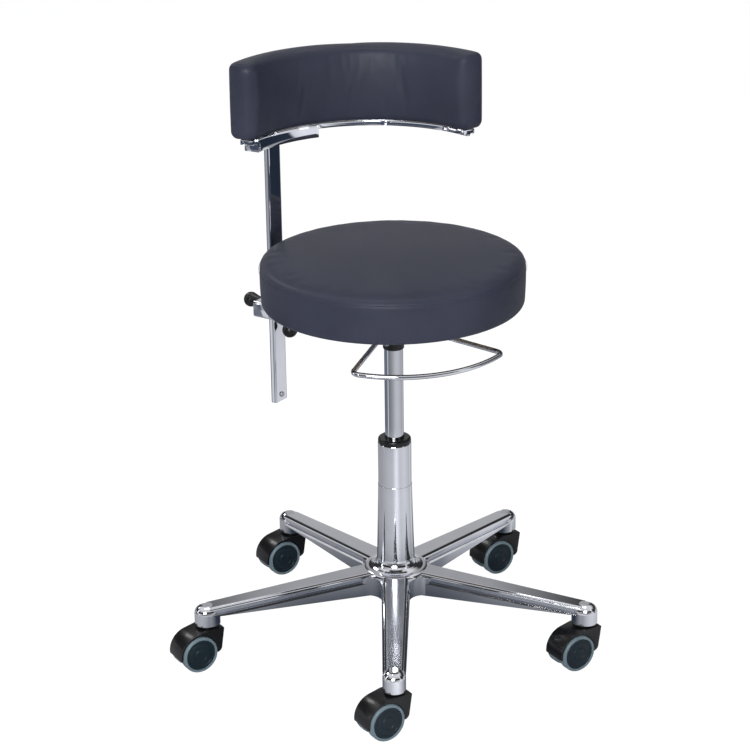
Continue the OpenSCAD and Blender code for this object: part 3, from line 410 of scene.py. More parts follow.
@lru_cache(maxsize=None)
def handling_marks() -> Tree:
    """Smudges and hairline scratches of handled, wiped surfaces.

    Returns:
        The group, with Smudge and Scratch outputs.
    """
    scales = {"Smudge Scale": 22.0, "Scratch Scale": 160.0}
    tree, start, end = open_group("handling_marks", scales, ("Smudge", "Scratch"))
    place, smudge_scale, scratch_scale = (start.outputs[label] for label in ("Vector", *scales))
    smudge = add_node(tree, "TexNoise", Vector=place, Scale=smudge_scale, Detail=6.0, Roughness=0.62)
    stretch = add_node(tree, "Mapping", Vector=place, Scale=(1.0, 1.0, 0.06), Rotation=(0.3, 0.25, 0.4))
    lines = add_node(tree, "TexNoise", Vector=stretch.outputs["Vector"], Scale=scratch_scale, Detail=4.0)
    scratch = add_node(tree, "MapRange", Value=lines.outputs["Fac"], From_Min=0.6, From_Max=0.78)
    feed(tree, end, Smudge=smudge.outputs["Fac"], Scratch=scratch.outputs["Result"])
    return tree


# Finishes

@dataclass(frozen=True)
class Finish:
    """A surface finish: its colours and how it takes light."""
    name: str
    slot: str
    colour: Colour
    second: Colour
    rough: float
    rough_spread: float

    @lru_cache(maxsize=None)
    def material(self) -> bpy.types.Material:
        """Builds the material once and gives it.

        Returns:
            The material.
        """
        made = bpy.data.materials.new(self.name)
        made.use_nodes = True
        self.dress(made.node_tree, made.node_tree.nodes["Principled BSDF"])
        return made

    def dress(self, tree: Tree, surface: Node) -> None:
        """Wires the finish's nodes; each kind of finish has its own way."""
        raise NotImplementedError

    def place(self, tree: Tree) -> Socket:
        """The point on the object, as a socket."""
        return tree.nodes.new("ShaderNodeTexCoord").outputs["Object"]

    def group(self, tree: Tree, which: Tree, **values: float) -> Node:
        """Places a shared group at the point on the object and fills its inputs."""
        return add_node(tree, "Group", node_tree=which, Vector=self.place(tree), **values)

    def mix(self, tree: Tree, share: Socket) -> Socket:
        """Mixes the finish's two colours, of which the second has the share."""
        return blend(tree, share, (*self.colour, 1.0), (*self.second, 1.0))

    def spread(self, tree: Tree, noise: Socket, low: float, high: float) -> Socket:
        """Maps a noise between 0.3 and 0.7 onto the range from low to high."""
        node = add_node(tree, "MapRange", Value=noise, From_Min=0.3, From_Max=0.7, To_Min=low, To_Max=high)
        return node.outputs["Result"]

    def tint(self, tree: Tree, surface: Node, noise: Socket) -> None:
        """Lets a noise mix the colours and spread the roughness round its middle.

        Args:
            tree: The material's tree.
            surface: The surface shader.
            noise: The noise.
        """
        low, high = self.rough - self.rough_spread, self.rough + self.rough_spread
        feed(tree, surface, Base_Color=self.mix(tree, self.spread(tree, noise, 0.0, 1.0)))
        feed(tree, surface, Roughness=self.spread(tree, noise, low, high))

    def bump(self, tree: Tree, surface: Node, height: Socket, depth: float, strength: float) -> None:
        """Joins a height, its depth in millimetres, to the surface's normal."""
        node = add_node(tree, "Bump", Height=height, Distance=depth * MM, Strength=strength)
        feed(tree, surface, Normal=node.outputs["Normal"])


@dataclass(frozen=True)
class Leatherette(Finish):
    """Coated upholstery fabric with a fine pebble grain."""
    cell: float = 1.15
    crease: float = 0.22
    depth: float = 0.09
    relief: float = 0.55
    shine: float = 0.10
    coat: float = 0.09
    coat_rough: float = 0.34
    sheen: float = 0.03
    sheen_rough: float = 0.45
    sheen_tint: Tint = (0.62, 0.66, 0.85, 1.0)

    def dress(self, tree: Tree, surface: Node) -> None:
        """Wires grain, tone and a faint sheen.

        Args:
            tree: The material's tree.
            surface: The surface shader.
        """
        grain = self.group(tree, pebble_grain(), Scale=1.0 / (self.cell * MM), Crease=self.crease)
        self.tint(tree, surface, grain.outputs["Tone"])
        self.bump(tree, surface, grain.outputs["Height"], self.depth, self.relief)
        feed(tree, surface, Specular_IOR_Level=self.shine, Coat_Weight=self.coat, Coat_Roughness=self.coat_rough)
        feed(tree, surface, Sheen_Weight=self.sheen, Sheen_Roughness=self.sheen_rough, Sheen_Tint=self.sheen_tint)


@dataclass(frozen=True)
class Plated(Finish):
    """Chromium plate or polished metal with wiping marks."""
    scratch: float = 0.02
    smudges: float = 18.0
    hairlines: float = 220.0
    depth: float = 0.01
    relief: float = 0.12

    def dress(self, tree: Tree, surface: Node) -> None:
        """Wires smudges, hairlines and the metal's mirror.

        Args:
            tree: The material's tree.
            surface: The surface shader.
        """
        marks = self.group(tree, handling_marks(), Smudge_Scale=self.smudges, Scratch_Scale=self.hairlines)
        smudge, scratch = marks.outputs["Smudge"], marks.outputs["Scratch"]
        wiped = self.spread(tree, smudge, self.rough, self.rough + self.rough_spread)
        rough = add_node(tree, "Math", operation="MULTIPLY_ADD", _0=scratch, _1=self.scratch, _2=wiped).outputs[0]
        colour = self.mix(tree, self.spread(tree, smudge, 0.0, 1.0))
        feed(tree, surface, Base_Color=colour, Roughness=rough, Metallic=1.0)
        self.bump(tree, surface, scratch, self.depth, self.relief)


@dataclass(frozen=True)
class Moulded(Finish):
    """Moulded plastic with a fine spark texture."""
    texture: float = 0.35
    coat: float = 0.0
    shine: float = 0.5
    cells: float = 1900.0
    crease: float = 0.5
    depth: float = 0.02
    smudges: float = 30.0
    hairlines: float = 260.0
    coat_rough: float = 0.12

    def dress(self, tree: Tree, surface: Node) -> None:
        """Wires the moulded texture and faint handling marks.

        Args:
            tree: The material's tree.
            surface: The surface shader.
        """
        grain = self.group(tree, pebble_grain(), Scale=self.cells, Crease=self.crease)
        marks = self.group(tree, handling_marks(), Smudge_Scale=self.smudges, Scratch_Scale=self.hairlines)
        self.tint(tree, surface, marks.outputs["Smudge"])
        self.bump(tree, surface, grain.outputs["Height"], self.depth, self.texture)
        feed(tree, surface, Specular_IOR_Level=self.shine, Coat_Weight=self.coat, Coat_Roughness=self.coat_rough)


@dataclass(frozen=True)
class Plywood(Finish):
    """Moulded plywood with long grain lines."""
    stretch: Point = (4.0, 55.0, 30.0)
    depth: float = 0.15
    relief: float = 0.3

    def dress(self, tree: Tree, surface: Node) -> None:
        """Wires the veneer's lines.

        Args:
            tree: The material's tree.
            surface: The surface shader.
        """
        stretch = add_node(tree, "Mapping", Vector=self.place(tree), Scale=self.stretch)
        lines = add_node(tree, "TexNoise", Vector=stretch.outputs["Vector"], Scale=3.0, Detail=7.0).outputs["Fac"]
        self.tint(tree, surface, lines)
        self.bump(tree, surface, lines, self.depth, self.relief)


LEATHERETTE = Leatherette("leatherette", "leatherette", (0.0285, 0.0315, 0.0500), (0.0405, 0.0440, 0.0680), 0.43, 0.05)
THREAD = Moulded("seam_thread", "leatherette", (0.030, 0.032, 0.048), (0.040, 0.043, 0.060), 0.70, 0.05, 0.6)
CHROME = Plated("chrome_plate", "chrome", (0.705, 0.72, 0.765), (0.65, 0.665, 0.71), 0.035, 0.04)
POLISHED = Plated("polished_aluminium", "cast_aluminium", (0.715, 0.73, 0.775), (0.65, 0.665, 0.71), 0.06, 0.06, 0.05)
ZINC = Plated("zinc_steel", "steel", (0.50, 0.51, 0.53), (0.42, 0.43, 0.45), 0.24, 0.12, 0.08)
BLACK = Moulded(
    "black_plastic", "black_plastic", (0.0040, 0.0040, 0.0048), (0.0070, 0.0070, 0.0082), 0.32, 0.05,
    texture=0.22, coat=0.22, shine=0.28,
)
TYRE_GREY = Moulded("tyre_grey", "slate_plastic", (0.120, 0.170, 0.200), (0.155, 0.21, 0.24), 0.50, 0.06)
DISC_SLATE = Moulded(
    "disc_slate", "slate_plastic", (0.006, 0.014, 0.021), (0.010, 0.020, 0.028), 0.42, 0.06,
    texture=0.3, coat=0.05, shine=0.22,
)
VENEER = Plywood("veneer", "plywood", (0.20, 0.145, 0.095), (0.30, 0.225, 0.15), 0.58, 0.08)
STAPLE = Plated("staple_wire", "steel", (0.62, 0.62, 0.64), (0.5, 0.5, 0.52), 0.22, 0.08)


# Upholstery

COVER_CLOTH = {
    "quality": 5, "mass": 0.25, "tension_stiffness": 25.0, "compression_stiffness": 25.0,
    "shear_stiffness": 12.0, "bending_stiffness": 2.0, "vertex_group_mass": "held", "use_pressure": True,
}
COVER_PRESSURE = 4.0
COVER_FRAMES = 18
STITCH_PITCH = 4.2
STITCH_LENGTH = 3.1


def puff(piece: Piece, hold: Callable[[np.ndarray], np.ndarray], cap: float) -> None:
    """Blows a closed cover up with a cloth simulation and keeps the result.

    Args:
        piece: A closed mesh object.
        hold: Gives each corner's hold, 1 for fixed, from its place in millimetres.
        cap: The furthest that a corner may move, in millimetres.
    """
    count = len(piece.data.vertices)
    start = np.empty(count * 3)
    piece.data.vertices.foreach_get("co", start)
    start = start.reshape(-1, 3)
    held = np.round(hold(start / MM), 2)
    group = piece.vertex_groups.new(name="held")
    for level in np.unique(held):
        if level > 0:
            group.add([int(i) for i in np.nonzero(held == level)[0]], float(level), "REPLACE")
    cloth = piece.modifiers.new("cover", "CLOTH")
    for label, value in COVER_CLOTH.items():
        setattr(cloth.settings, label, value)
    cloth.settings.uniform_pressure_force = COVER_PRESSURE
    cloth.settings.effector_weights.gravity = 0.0
    cloth.collision_settings.use_collision = False
    cloth.point_cache.frame_start = 1
    cloth.point_cache.frame_end = COVER_FRAMES
    scene = bpy.context.scene
    for step in range(1, COVER_FRAMES + 1):
        scene.frame_set(step)
    graph = bpy.context.evaluated_depsgraph_get()
    moved_mesh = piece.evaluated_get(graph).to_mesh()
    moved = np.empty(count * 3)
    moved_mesh.vertices.foreach_get("co", moved)
    shift = moved.reshape(-1, 3) - start
    piece.evaluated_get(graph).to_mesh_clear()
    piece.modifiers.clear()
    piece.vertex_groups.clear()
    scene.frame_set(1)
    size = np.linalg.norm(shift, axis=1, keepdims=True) + 1e-12
    limit = cap * MM
    shift *= limit * np.tanh(size / limit) / size
    piece.data.vertices.foreach_set("co", (start + shift).ravel())
    piece.data.update()


def stitches(name: str, path: Sequence[Vector], out: Sequence[Vector], thick: float) -> Piece:
    """A row of short raised stitches along a path.

    Args:
        name: The piece's name.
        path: Points in millimetres.
        out: The surface's outward direction at each point.
        thick: Thickness of the thread.

    Returns:
        The stitches as one mesh object.
    """
    gaps = [(b - a).length for a, b in zip(path, path[1:])]
    total = sum(gaps)
    places: List[float] = [0.0]
    for gap in gaps:
        places.append(places[-1] + gap)

    def at(s: float) -> Tuple[Vector, Vector]:
        """Finds a place on the path.

        Args:
            s: The distance along the path.

        Returns:
            The point and the outward direction.
        """
        i = max(0, min(len(gaps) - 1, int(np.searchsorted(places, s)) - 1))
        t = (s - places[i]) / max(gaps[i], 1e-9)
        return path[i].lerp(path[i + 1], t), out[i].lerp(out[i + 1], t).normalized()

    skin = Skin()
    count = int(total / STITCH_PITCH)
    for k in range(count):
        middle = (k + 0.5) * total / count
        rings: Rings = []
        for share, swell in ((-0.5, 0.35), (-0.38, 0.9), (0.0, 1.0), (0.38, 0.9), (0.5, 0.35)):
            place = middle + share * STITCH_LENGTH
            centre, normal = at(min(max(place, 0.0), total))
            ahead, _ = at(min(place + 0.2, total))
            along = (ahead - centre).normalized() if (ahead - centre).length > 1e-6 else Vector((0.0, 0.0, 1.0))
            side = along.cross(normal).normalized()
            lift = normal * (thick * 0.28 * (1.0 - (2.0 * share) ** 2 * 1.4))
            ring = []
            for j in range(6):
                a = pi * j / 3
                ring.append(tuple(centre + lift + (side * cos(a) + normal * sin(a)) * (thick / 2 * swell)))
            rings.append(skin.add_ring(ring))
        skin.loft(rings)
        skin.cap(rings)
    return skin.build(name)


@dataclass
class SeatUpholstery:
    """The round seat: puffed cover, seam with stitching, and the cover's wrapped margin below."""
    radius: float = 193.0
    foot_z: float = 540.0
    edge_z: float = 608.0
    crown: float = 4.0
    roll: float = 8.5
    shoulder: float = 20.0
    seam_z: float = 596.3
    pocket_r: float = 180.6
    pocket_top: float = 552.5
    segments: int = 224
    shrink: float = 1.2
    puff_cap: float = 0.9
    thread: float = 0.62
    stitch_drop: float = 2.9
    seam_groove: Stops = ((1.7, 0.0), (0.8, -0.2), (0.3, -0.75), (-0.3, -0.75), (-0.8, -0.2), (-1.7, 0.0))
    side_bulge: float = 0.5
    draw_in: float = 1.0
    foot_round: float = 6.0
    pocket_shares: Shares = (1.0, 0.85, 0.6, 0.3, 0.0)
    gather: float = 0.16
    gather_reach: float = 9.0
    gather_zone: float = 12.0
    pleats: int = 36
    staple_count: int = 54
    staple_r: float = 160.0
    staple_shape: Stops = ((-4.6, 1.0), (-4.6, 0.1), (-4.2, -0.3), (4.2, -0.3), (4.6, 0.1), (4.6, 1.0))
    margin_steps: int = 288
    # Radius of each ring and its lift above the foot.
    margin_profile: Stops = (
        (186.0, 0.35), (181.0, 0.1), (172.0, -0.25), (163.0, -0.35), (157.0, -0.3), (152.0, -0.25), (150.5, 0.15),
    )

    def profile(self) -> List[Pair]:
        """The cover's half section, from the middle of its top to the middle of its underside.

        Returns:
            Points of radius and height.
        """
        r = self.radius - self.shrink
        top = self.edge_z - self.shrink
        flat = r - self.shoulder
        points = [(flat * s, top + self.crown * (1.0 - s * s)) for s in between(0.0, 1.0, 18)]
        bend = between(0.5 * pi, 0.0, 12)[1:]
        points += [(flat + self.shoulder * cos(a), top + self.roll * (sin(a) - 1.0)) for a in bend]
        points += [(r + depth, self.seam_z + rise) for rise, depth in self.seam_groove]
        low, under = self.foot_z + self.foot_round, points[-1][1]
        for share in between(0.0, 1.0, 9)[1:]:
            side = r - self.draw_in * share + self.side_bulge * sin(pi * share)
            points.append((side, under + (low - under) * share))
        points += arc(r - self.draw_in - self.foot_round, low, self.foot_round, 0, -84, 5)[1:]
        points += [(self.pocket_r + 1.5, self.foot_z + 0.2), (self.pocket_r, self.foot_z + 0.4)]
        points += [(self.pocket_r * s, self.pocket_top) for s in self.pocket_shares]
        return points

    def hold(self, places: np.ndarray) -> np.ndarray:
        """Holds the underside and, a little less firmly, the seam.

        Args:
            places: The corners, in millimetres.

        Returns:
            The hold of each corner, 1 for fixed.
        """
        r, z = np.hypot(places[:, 0], places[:, 1]), places[:, 2]
        below = (z < self.foot_z + 1.0) | ((z < self.pocket_top + 1.0) & (r < self.pocket_r + 1.0))
        seam = (np.abs(z - self.seam_z) < 0.6) & (r > self.radius - 6.0)
        return np.where(below, 1.0, np.where(seam, 0.9, 0.0))

    def cover(self) -> None:
        """Makes the simulated cover."""
        piece = revolve(self.profile(), self.segments).build("seat_cover")
        puff(piece, self.hold, self.puff_cap)
        self.pucker(piece)
        settle(piece, "seat", LEATHERETTE, ["seat_cushion"])

    def pucker(self, piece: Piece) -> None:
        """Adds the faint gathers that a sewn round panel shows next to its seam.

        Args:
            piece: The cover.
        """
        for corner in piece.data.vertices:
            x, y, z = corner.co / MM
            r = hypot(x, y)
            if r < self.radius - self.gather_zone:
                continue
            a = atan2(y, x)
            near = exp(-(((z - self.seam_z) / self.gather_reach) ** 2))
            wave = sin(47 * a + 1.3 * sin(5 * a)) + 0.6 * sin(83 * a + 0.7)
            k = 1.0 + self.gather * near * wave / r
            corner.co.x *= k
            corner.co.y *= k
        piece.data.update()

    def seam(self) -> None:
        """Makes the row of stitches just below the seam."""
        z = self.seam_z - self.stitch_drop
        path = [Vector(around(self.radius, a, z)) for a in between(0.0, 2 * pi, 360)]
        out = [Vector((p.x, p.y, 0.0)).normalized() for p in path]
        settle(stitches("seat_seam_stitches", path, out, self.thread), "seat", THREAD)

    def margin(self) -> None:
        """Makes the cover's edge, drawn over the board's lower face and pleated."""
        skin = Skin()
        rings: Rings = []
        for r, lift in self.margin_profile:
            ring = []
            for i in range(self.margin_steps):
                a = 2 * pi * i / self.margin_steps
                pleat = abs(sin(self.pleats / 2 * a)) ** 6 * max(0.0, (181.0 - r) / 31.0)
                edge = 1.6 * sin(7 * a) + 1.1 * sin(16 * a + 1.0) if r < 158.0 else 0.0
                ring.append(around(r + edge, a, self.foot_z + lift - 0.7 * pleat))
            rings.append(skin.add_ring(ring))
        skin.loft(rings)
        piece = settle(skin.build("seat_cover_margin"), "seat", LEATHERETTE)

    def staples(self) -> None:
        """Makes the staples that hold the margin to the board."""
        skin = Skin()
        for k in range(self.staple_count):
            a = 2 * pi * (k + 0.5 + 0.18 * sin(k * 2.3)) / self.staple_count
            place = Vector(around(self.staple_r + 1.5 * sin(k * 1.7), a, self.foot_z - 0.55))
            turn = Matrix.Rotation(a + pi / 2 + 0.12 * sin(k * 3.1), 4, "Z")
            turn = Matrix.Translation(place) @ turn
            rings = []
            for x, z in self.staple_shape:
                section = [Vector((x, 0.35 * cos(b), z + 0.3 * sin(b))) for b in (0.4, 2.0, 3.54, 5.1)]
                rings.append(skin.add_ring([tuple(turn @ p) for p in section]))
            skin.loft(rings)
            skin.cap(rings)
        settle(skin.build("seat_staples", Shading.CREASED), "seat", STAPLE)

    def build(self) -> None:
        """Makes every piece of the seat."""
        self.cover()
        self.seam()
        self.margin()
        self.staples()


@dataclass
class BackPad:
    """The curved back pad: puffed cover with seams along its inner panel."""
    centre_x: float = -32.95
    centre_y: float = -14.2
    turn: float = 7.66
    inner: float = 175.0
    thick: float = 47.0
    foot_z: float = 763.7
    height: float = 112.5
    half: float = 60.3
    edge: float = 11.5
    end: float = 19.0
    corner: float = 9.0
    bulge: float = 3.0
    back_bulge: float = 1.5
    shrink: float = 1.0
    puff_cap: float = 1.5
    thread: float = 0.6
    seam_share: float = 0.30
    seam_start: float = 14.0
    face_shares: Point = (0.72, 0.44, 0.18)
    stations: int = 110
    end_shares: Shares = (0.03, 0.08, 0.16, 0.27, 0.41, 0.58, 0.78, 1.0)

    def section(self, s: float) -> List[Pair]:
        """The pad's cross section at a distance from its end.

        Args:
            s: The distance, in millimetres.

        Returns:
            Points of radius and height, always the same number.
        """
        def inset(r: float) -> float:
            """How far a rounded end stands back."""
            return 0.0 if s >= r else r - sqrt(max(0.0, r * r - (r - s) ** 2))

        in_t, in_h = inset(self.end), inset(self.corner)
        r0 = self.inner + in_t + self.shrink
        r1 = self.inner + self.thick - in_t - self.shrink
        z0 = self.foot_z + in_h + self.shrink
        z1 = self.foot_z + self.height - in_h - self.shrink
        e = min(self.edge - self.shrink, (r1 - r0) / 2.05)
        crown = min(1.0, s / (4 * self.edge))
        front, back = self.bulge * crown, self.back_bulge * crown
        rise = between(0, 1, 9)[1:-1]
        points = arc(r1 - e, z0 + e, e, -90, 0, 6)
        points += [(r1 + back * sin(pi * t), z0 + e + (z1 - z0 - 2 * e) * t) for t in rise]
        points += arc(r1 - e, z1 - e, e, 0, 90, 6)
        points += [(r1 - e + (r0 - r1 + 2 * e) * t, z1) for t in between(0, 1, 4)[1:-1]]
        points += arc(r0 + e, z1 - e, e, 90, 180, 6)
        points += [(r0 - front * sin(pi * t), z1 - e + (z0 - z1 + 2 * e) * t) for t in rise]
        points += arc(r0 + e, z0 + e, e, 180, 270, 6)
        points += [(r0 + e + (r1 - r0 - 2 * e) * t, z0) for t in between(0, 1, 4)[1:-1]]
        return points

    def point(self, s: float, r: float, z: float) -> Point:
        """Bends a point of the straight pad, at a distance along its middle, onto the arc."""
        a = radians(90 + self.turn + self.half) - s / (self.inner + self.thick / 2)
        return (self.centre_x + r * cos(a), self.centre_y + r * sin(a), z)

    def run(self) -> float:
        """The pad's length along its middle."""
        return radians(2 * self.half) * (self.inner + self.thick / 2)

    def cover(self) -> None:
        """Makes the simulated cover."""
        run = self.run()
        ends = [self.end * share for share in self.end_shares]
        places = [self.shrink + e for e in ends]
        places += between(places[-1], run - places[-1], self.stations)[1:-1]
        places += [run - self.shrink - e for e in reversed(ends)]
        skin = Skin()
        rings = []
        for s in places:
            near = max(min(s, run - s) - self.shrink, 0.0)
            rings.append(skin.add_ring([self.point(s, r, z) for r, z in self.section(near)]))
        skin.loft(rings)
        for ring, flip in ((rings[0], True), (rings[-1], False)):
            corners = [Vector(skin.corners[i]) for i in ring]
            middle = sum(corners, Vector()) / len(corners)
            last = ring
            for share in self.face_shares:
                inner = skin.add_ring([tuple(middle.lerp(c, share)) for c in corners])
                skin.bridge(inner, last) if flip else skin.bridge(last, inner)
                last = inner
            skin.fan(last, tuple(middle), flip=flip)
        piece = skin.build("back_pad_cover")
        puff(piece, self.hold, self.puff_cap)
        settle(piece, "pad", LEATHERETTE, ["pad_cushion"])

    def hold(self, places: np.ndarray) -> np.ndarray:
        """Holds the underside, where the pad rests on its rail."""
        return np.where(places[:, 2] < self.foot_z + 2.2, 1.0, 0.0)

    def seams(self) -> None:
        """Stitches along the upper and lower edge of the inner panel."""
        depth = self.seam_share * self.edge
        radius = self.inner + depth
        rows = (("upper", self.foot_z + self.height - depth, 1.0), ("lower", self.foot_z + depth, -1.0))
        for name, z, tilt in rows:
            path: List[Vector] = []
            out: List[Vector] = []
            for s in between(self.seam_start, self.run() - self.seam_start, 160):
                p, q = Vector(self.point(s, radius, z)), Vector(self.point(s, radius + 1.0, z))
                path.append(p)
                out.append(((p - q).normalized() + Vector((0.0, 0.0, tilt))).normalized())
            settle(stitches("back_pad_stitches_" + name, path, out, self.thread), "pad", THREAD)

    def build(self) -> None:
        """Makes every piece of the pad."""
        self.cover()
        self.seams()


# Castors

@dataclass
class Castor:
    """One twin-wheel castor: its wheels and hood."""
    number: int
    circle: float = 294.0
    base_turn: float = 1.3
    swing: float = 32.0
    trail: float = 24.0
    wheel_r: float = 28.0
    near: float = 8.0
    wide: float = 14.0
    ring_r: float = 23.6
    sink: float = 1.2
    rounds: Pair = (2.5, 2.6)
    hood_round: float = 1.1
    # Radius of each step of the disc and its rise above the face.
    disc_face: Stops = (
        (19.6, 0.05), (19.2, -0.35), (18.4, -0.45), (17.9, -0.1), (14.0, 0.25), (10.6, 0.5),
        (10.2, 0.1), (9.4, 0.05), (9.0, 0.6), (8.2, 0.95), (5.0, 1.15), (0.0, 1.2),
    )

    def stem(self) -> Vector:
        """The stem's place on the floor."""
        return Vector(around(self.circle, radians(-90 - 72 * (self.number - 1) - self.base_turn)))

    def axle(self) -> Tuple[Vector, Vector]:
        """Where the axle stands.

        Returns:
            Its middle and its direction.
        """
        b = radians(self.swing)
        back = Vector((-cos(b), -sin(b), 0.0))
        middle = self.stem() + back * self.trail + Vector((0.0, 0.0, self.wheel_r))
        return middle, Vector((-sin(b), cos(b), 0.0))

    def wheel(self, side: str) -> None:
        """The grey tyre and the dark disc of one wheel.

        Args:
            side: The wheel's letter, a or b.
        """
        middle, along = self.axle()
        place = frame_along(middle, along if side == "b" else -along)
        r, rim, y0, y1 = self.wheel_r, self.ring_r, self.near, self.near + self.wide
        near_round, far_round = self.rounds
        tyre = [(rim - 1.2, y0 + 1.0), (rim, y0)]
        tyre += arc(r - near_round, y0 + near_round, near_round, 270, 360, 6)
        tyre += [(r, y0 + 6.0), (r, y1 - 6.0)]
        tyre += arc(r - far_round, y1 - far_round, far_round, 0, 90, 8)
        tyre += [(rim + 0.7, y1), (rim + 0.15, y1 - 0.25), (rim, y1 - 0.9), (rim, y1 - 2.4)]
        tyre += [(rim - 1.2, y1 - 3.0), (rim - 1.2, y0 + 1.0)]
        face = y1 - self.sink
        disc = [(3.2, y0), (8.0, y0), (8.0, face - 4.0), (rim - 1.0, face - 4.0), (rim - 0.2, face - 3.4)]
        disc += [(rim - 0.2, face - 0.6), (rim - 0.6, face - 0.1), (rim - 1.6, face)]
        disc += [(radius, face + rise) for radius, rise in self.disc_face]
        for name, profile, finish in (("tyre", tyre, TYRE_GREY), ("disc", disc, DISC_SLATE)):
            piece = revolve(profile, 96).build(f"castor{self.number}_{name}_{side}", Shading.CREASED, place)
            settle(piece, f"castor{self.number}_w{side}", finish, [f"castor{self.number}_wheel_{side}"])

    def hood(self) -> None:
        """The moulded hood with rounded edges."""
        node = f"castor{self.number}_hood"
        settle(softened(node, node + "_shell", self.hood_round, 3), f"castor{self.number}", BLACK, [node])

    def build(self) -> None:
        """Makes every piece of the castor."""
        self.wheel("a")
        self.wheel("b")
        self.hood()


# Rigid parts

@dataclass
class Fittings:
    """The rail's screws with their hexagon sockets, and the small rounded parts."""
    rail_x: float = -32.95
    rail_y: float = -14.2
    screw_r: float = 183.1
    screw_z: float = 759.9
    pad_turn: float = 7.66
    screw_turns: Shares = (-46.0, -15.9, 15.9, 46.0)
    head: float = 6.6
    head_height: float = 1.8
    shank: float = 3.8
    reach: float = 10.7
    # CAD node, its body and the width of its rounding.
    softened_nodes: Tuple[Tuple[str, str, float], ...] = (
        ("pad_rail", "pad", 0.8), ("rail_holder", "post_body", 0.9), ("post_clamp", "arm", 0.7),
    )

    def screw(self) -> Skin:
        """One countersunk screw, its head's seat at zero.

        Returns:
            The screw's skin.
        """
        tall, r, core = self.head_height, self.head / 2, self.shank / 2
        profile = [(0.0, -tall * 0.8), (self.head * 0.21, -tall * 0.8), (self.head * 0.21, -0.25)]
        profile += [(self.head * 0.25, 0.0), (r * 0.86, 0.05), (r * 0.97, -0.08), (r, -0.35)]
        profile += [(core, -tall), (core, -self.reach), (0.0, -self.reach)]
        return revolve(profile, 24, hexagon=self.head * 0.215)

    def pad_screws(self) -> None:
        """The screws on the rail's inner face."""
        whole = Skin()
        for turn in self.screw_turns:
            a = radians(90 + self.pad_turn + turn)
            x, y = self.rail_x + self.screw_r * cos(a), self.rail_y + self.screw_r * sin(a)
            place = frame_along((x, y, self.screw_z), around(-1.0, a))
            one = self.screw()
            offset = len(whole.corners)
            whole.corners.extend(tuple(place @ Vector(c)) for c in one.corners)
            whole.faces.extend(tuple(i + offset for i in f) for f in one.faces)
        settle(whole.build("rail_socket_screws", Shading.CREASED), "pad", CHROME, ["pad_screws"])

    def rounded(self) -> None:
        """Rigid parts whose edges catch the light."""
        for node, body, width in self.softened_nodes:
            settle(softened(node, node + "_rounded", width), body, CHROME, [node])

    def build(self) -> None:
        """Makes every fitting."""
        self.pad_screws()
        self.rounded()


@dataclass
class CarriedParts:
    """The CAD nodes that keep their shape and get a finish."""
    finishes: Dict[str, Finish] = field(default_factory=lambda: {
        "chrome": CHROME, "cast_aluminium": POLISHED, "steel": ZINC, "black_plastic": BLACK,
        "slate_plastic": DISC_SLATE, "leatherette": LEATHERETTE, "plywood": VENEER,
    })

    def build(self) -> None:
        """Gives every CAD node the finish of its slot."""
        for entry in frame["record"]["subparts"]:
            node = frame["nodes"][entry["node"]]
            finish = self.finishes[entry["material_slot"]]
            node.data.materials.clear()
            node.data.materials.append(finish.material())
            LOG.info("%s keeps its shape, in %s", entry["node"], finish.name)


# Studio

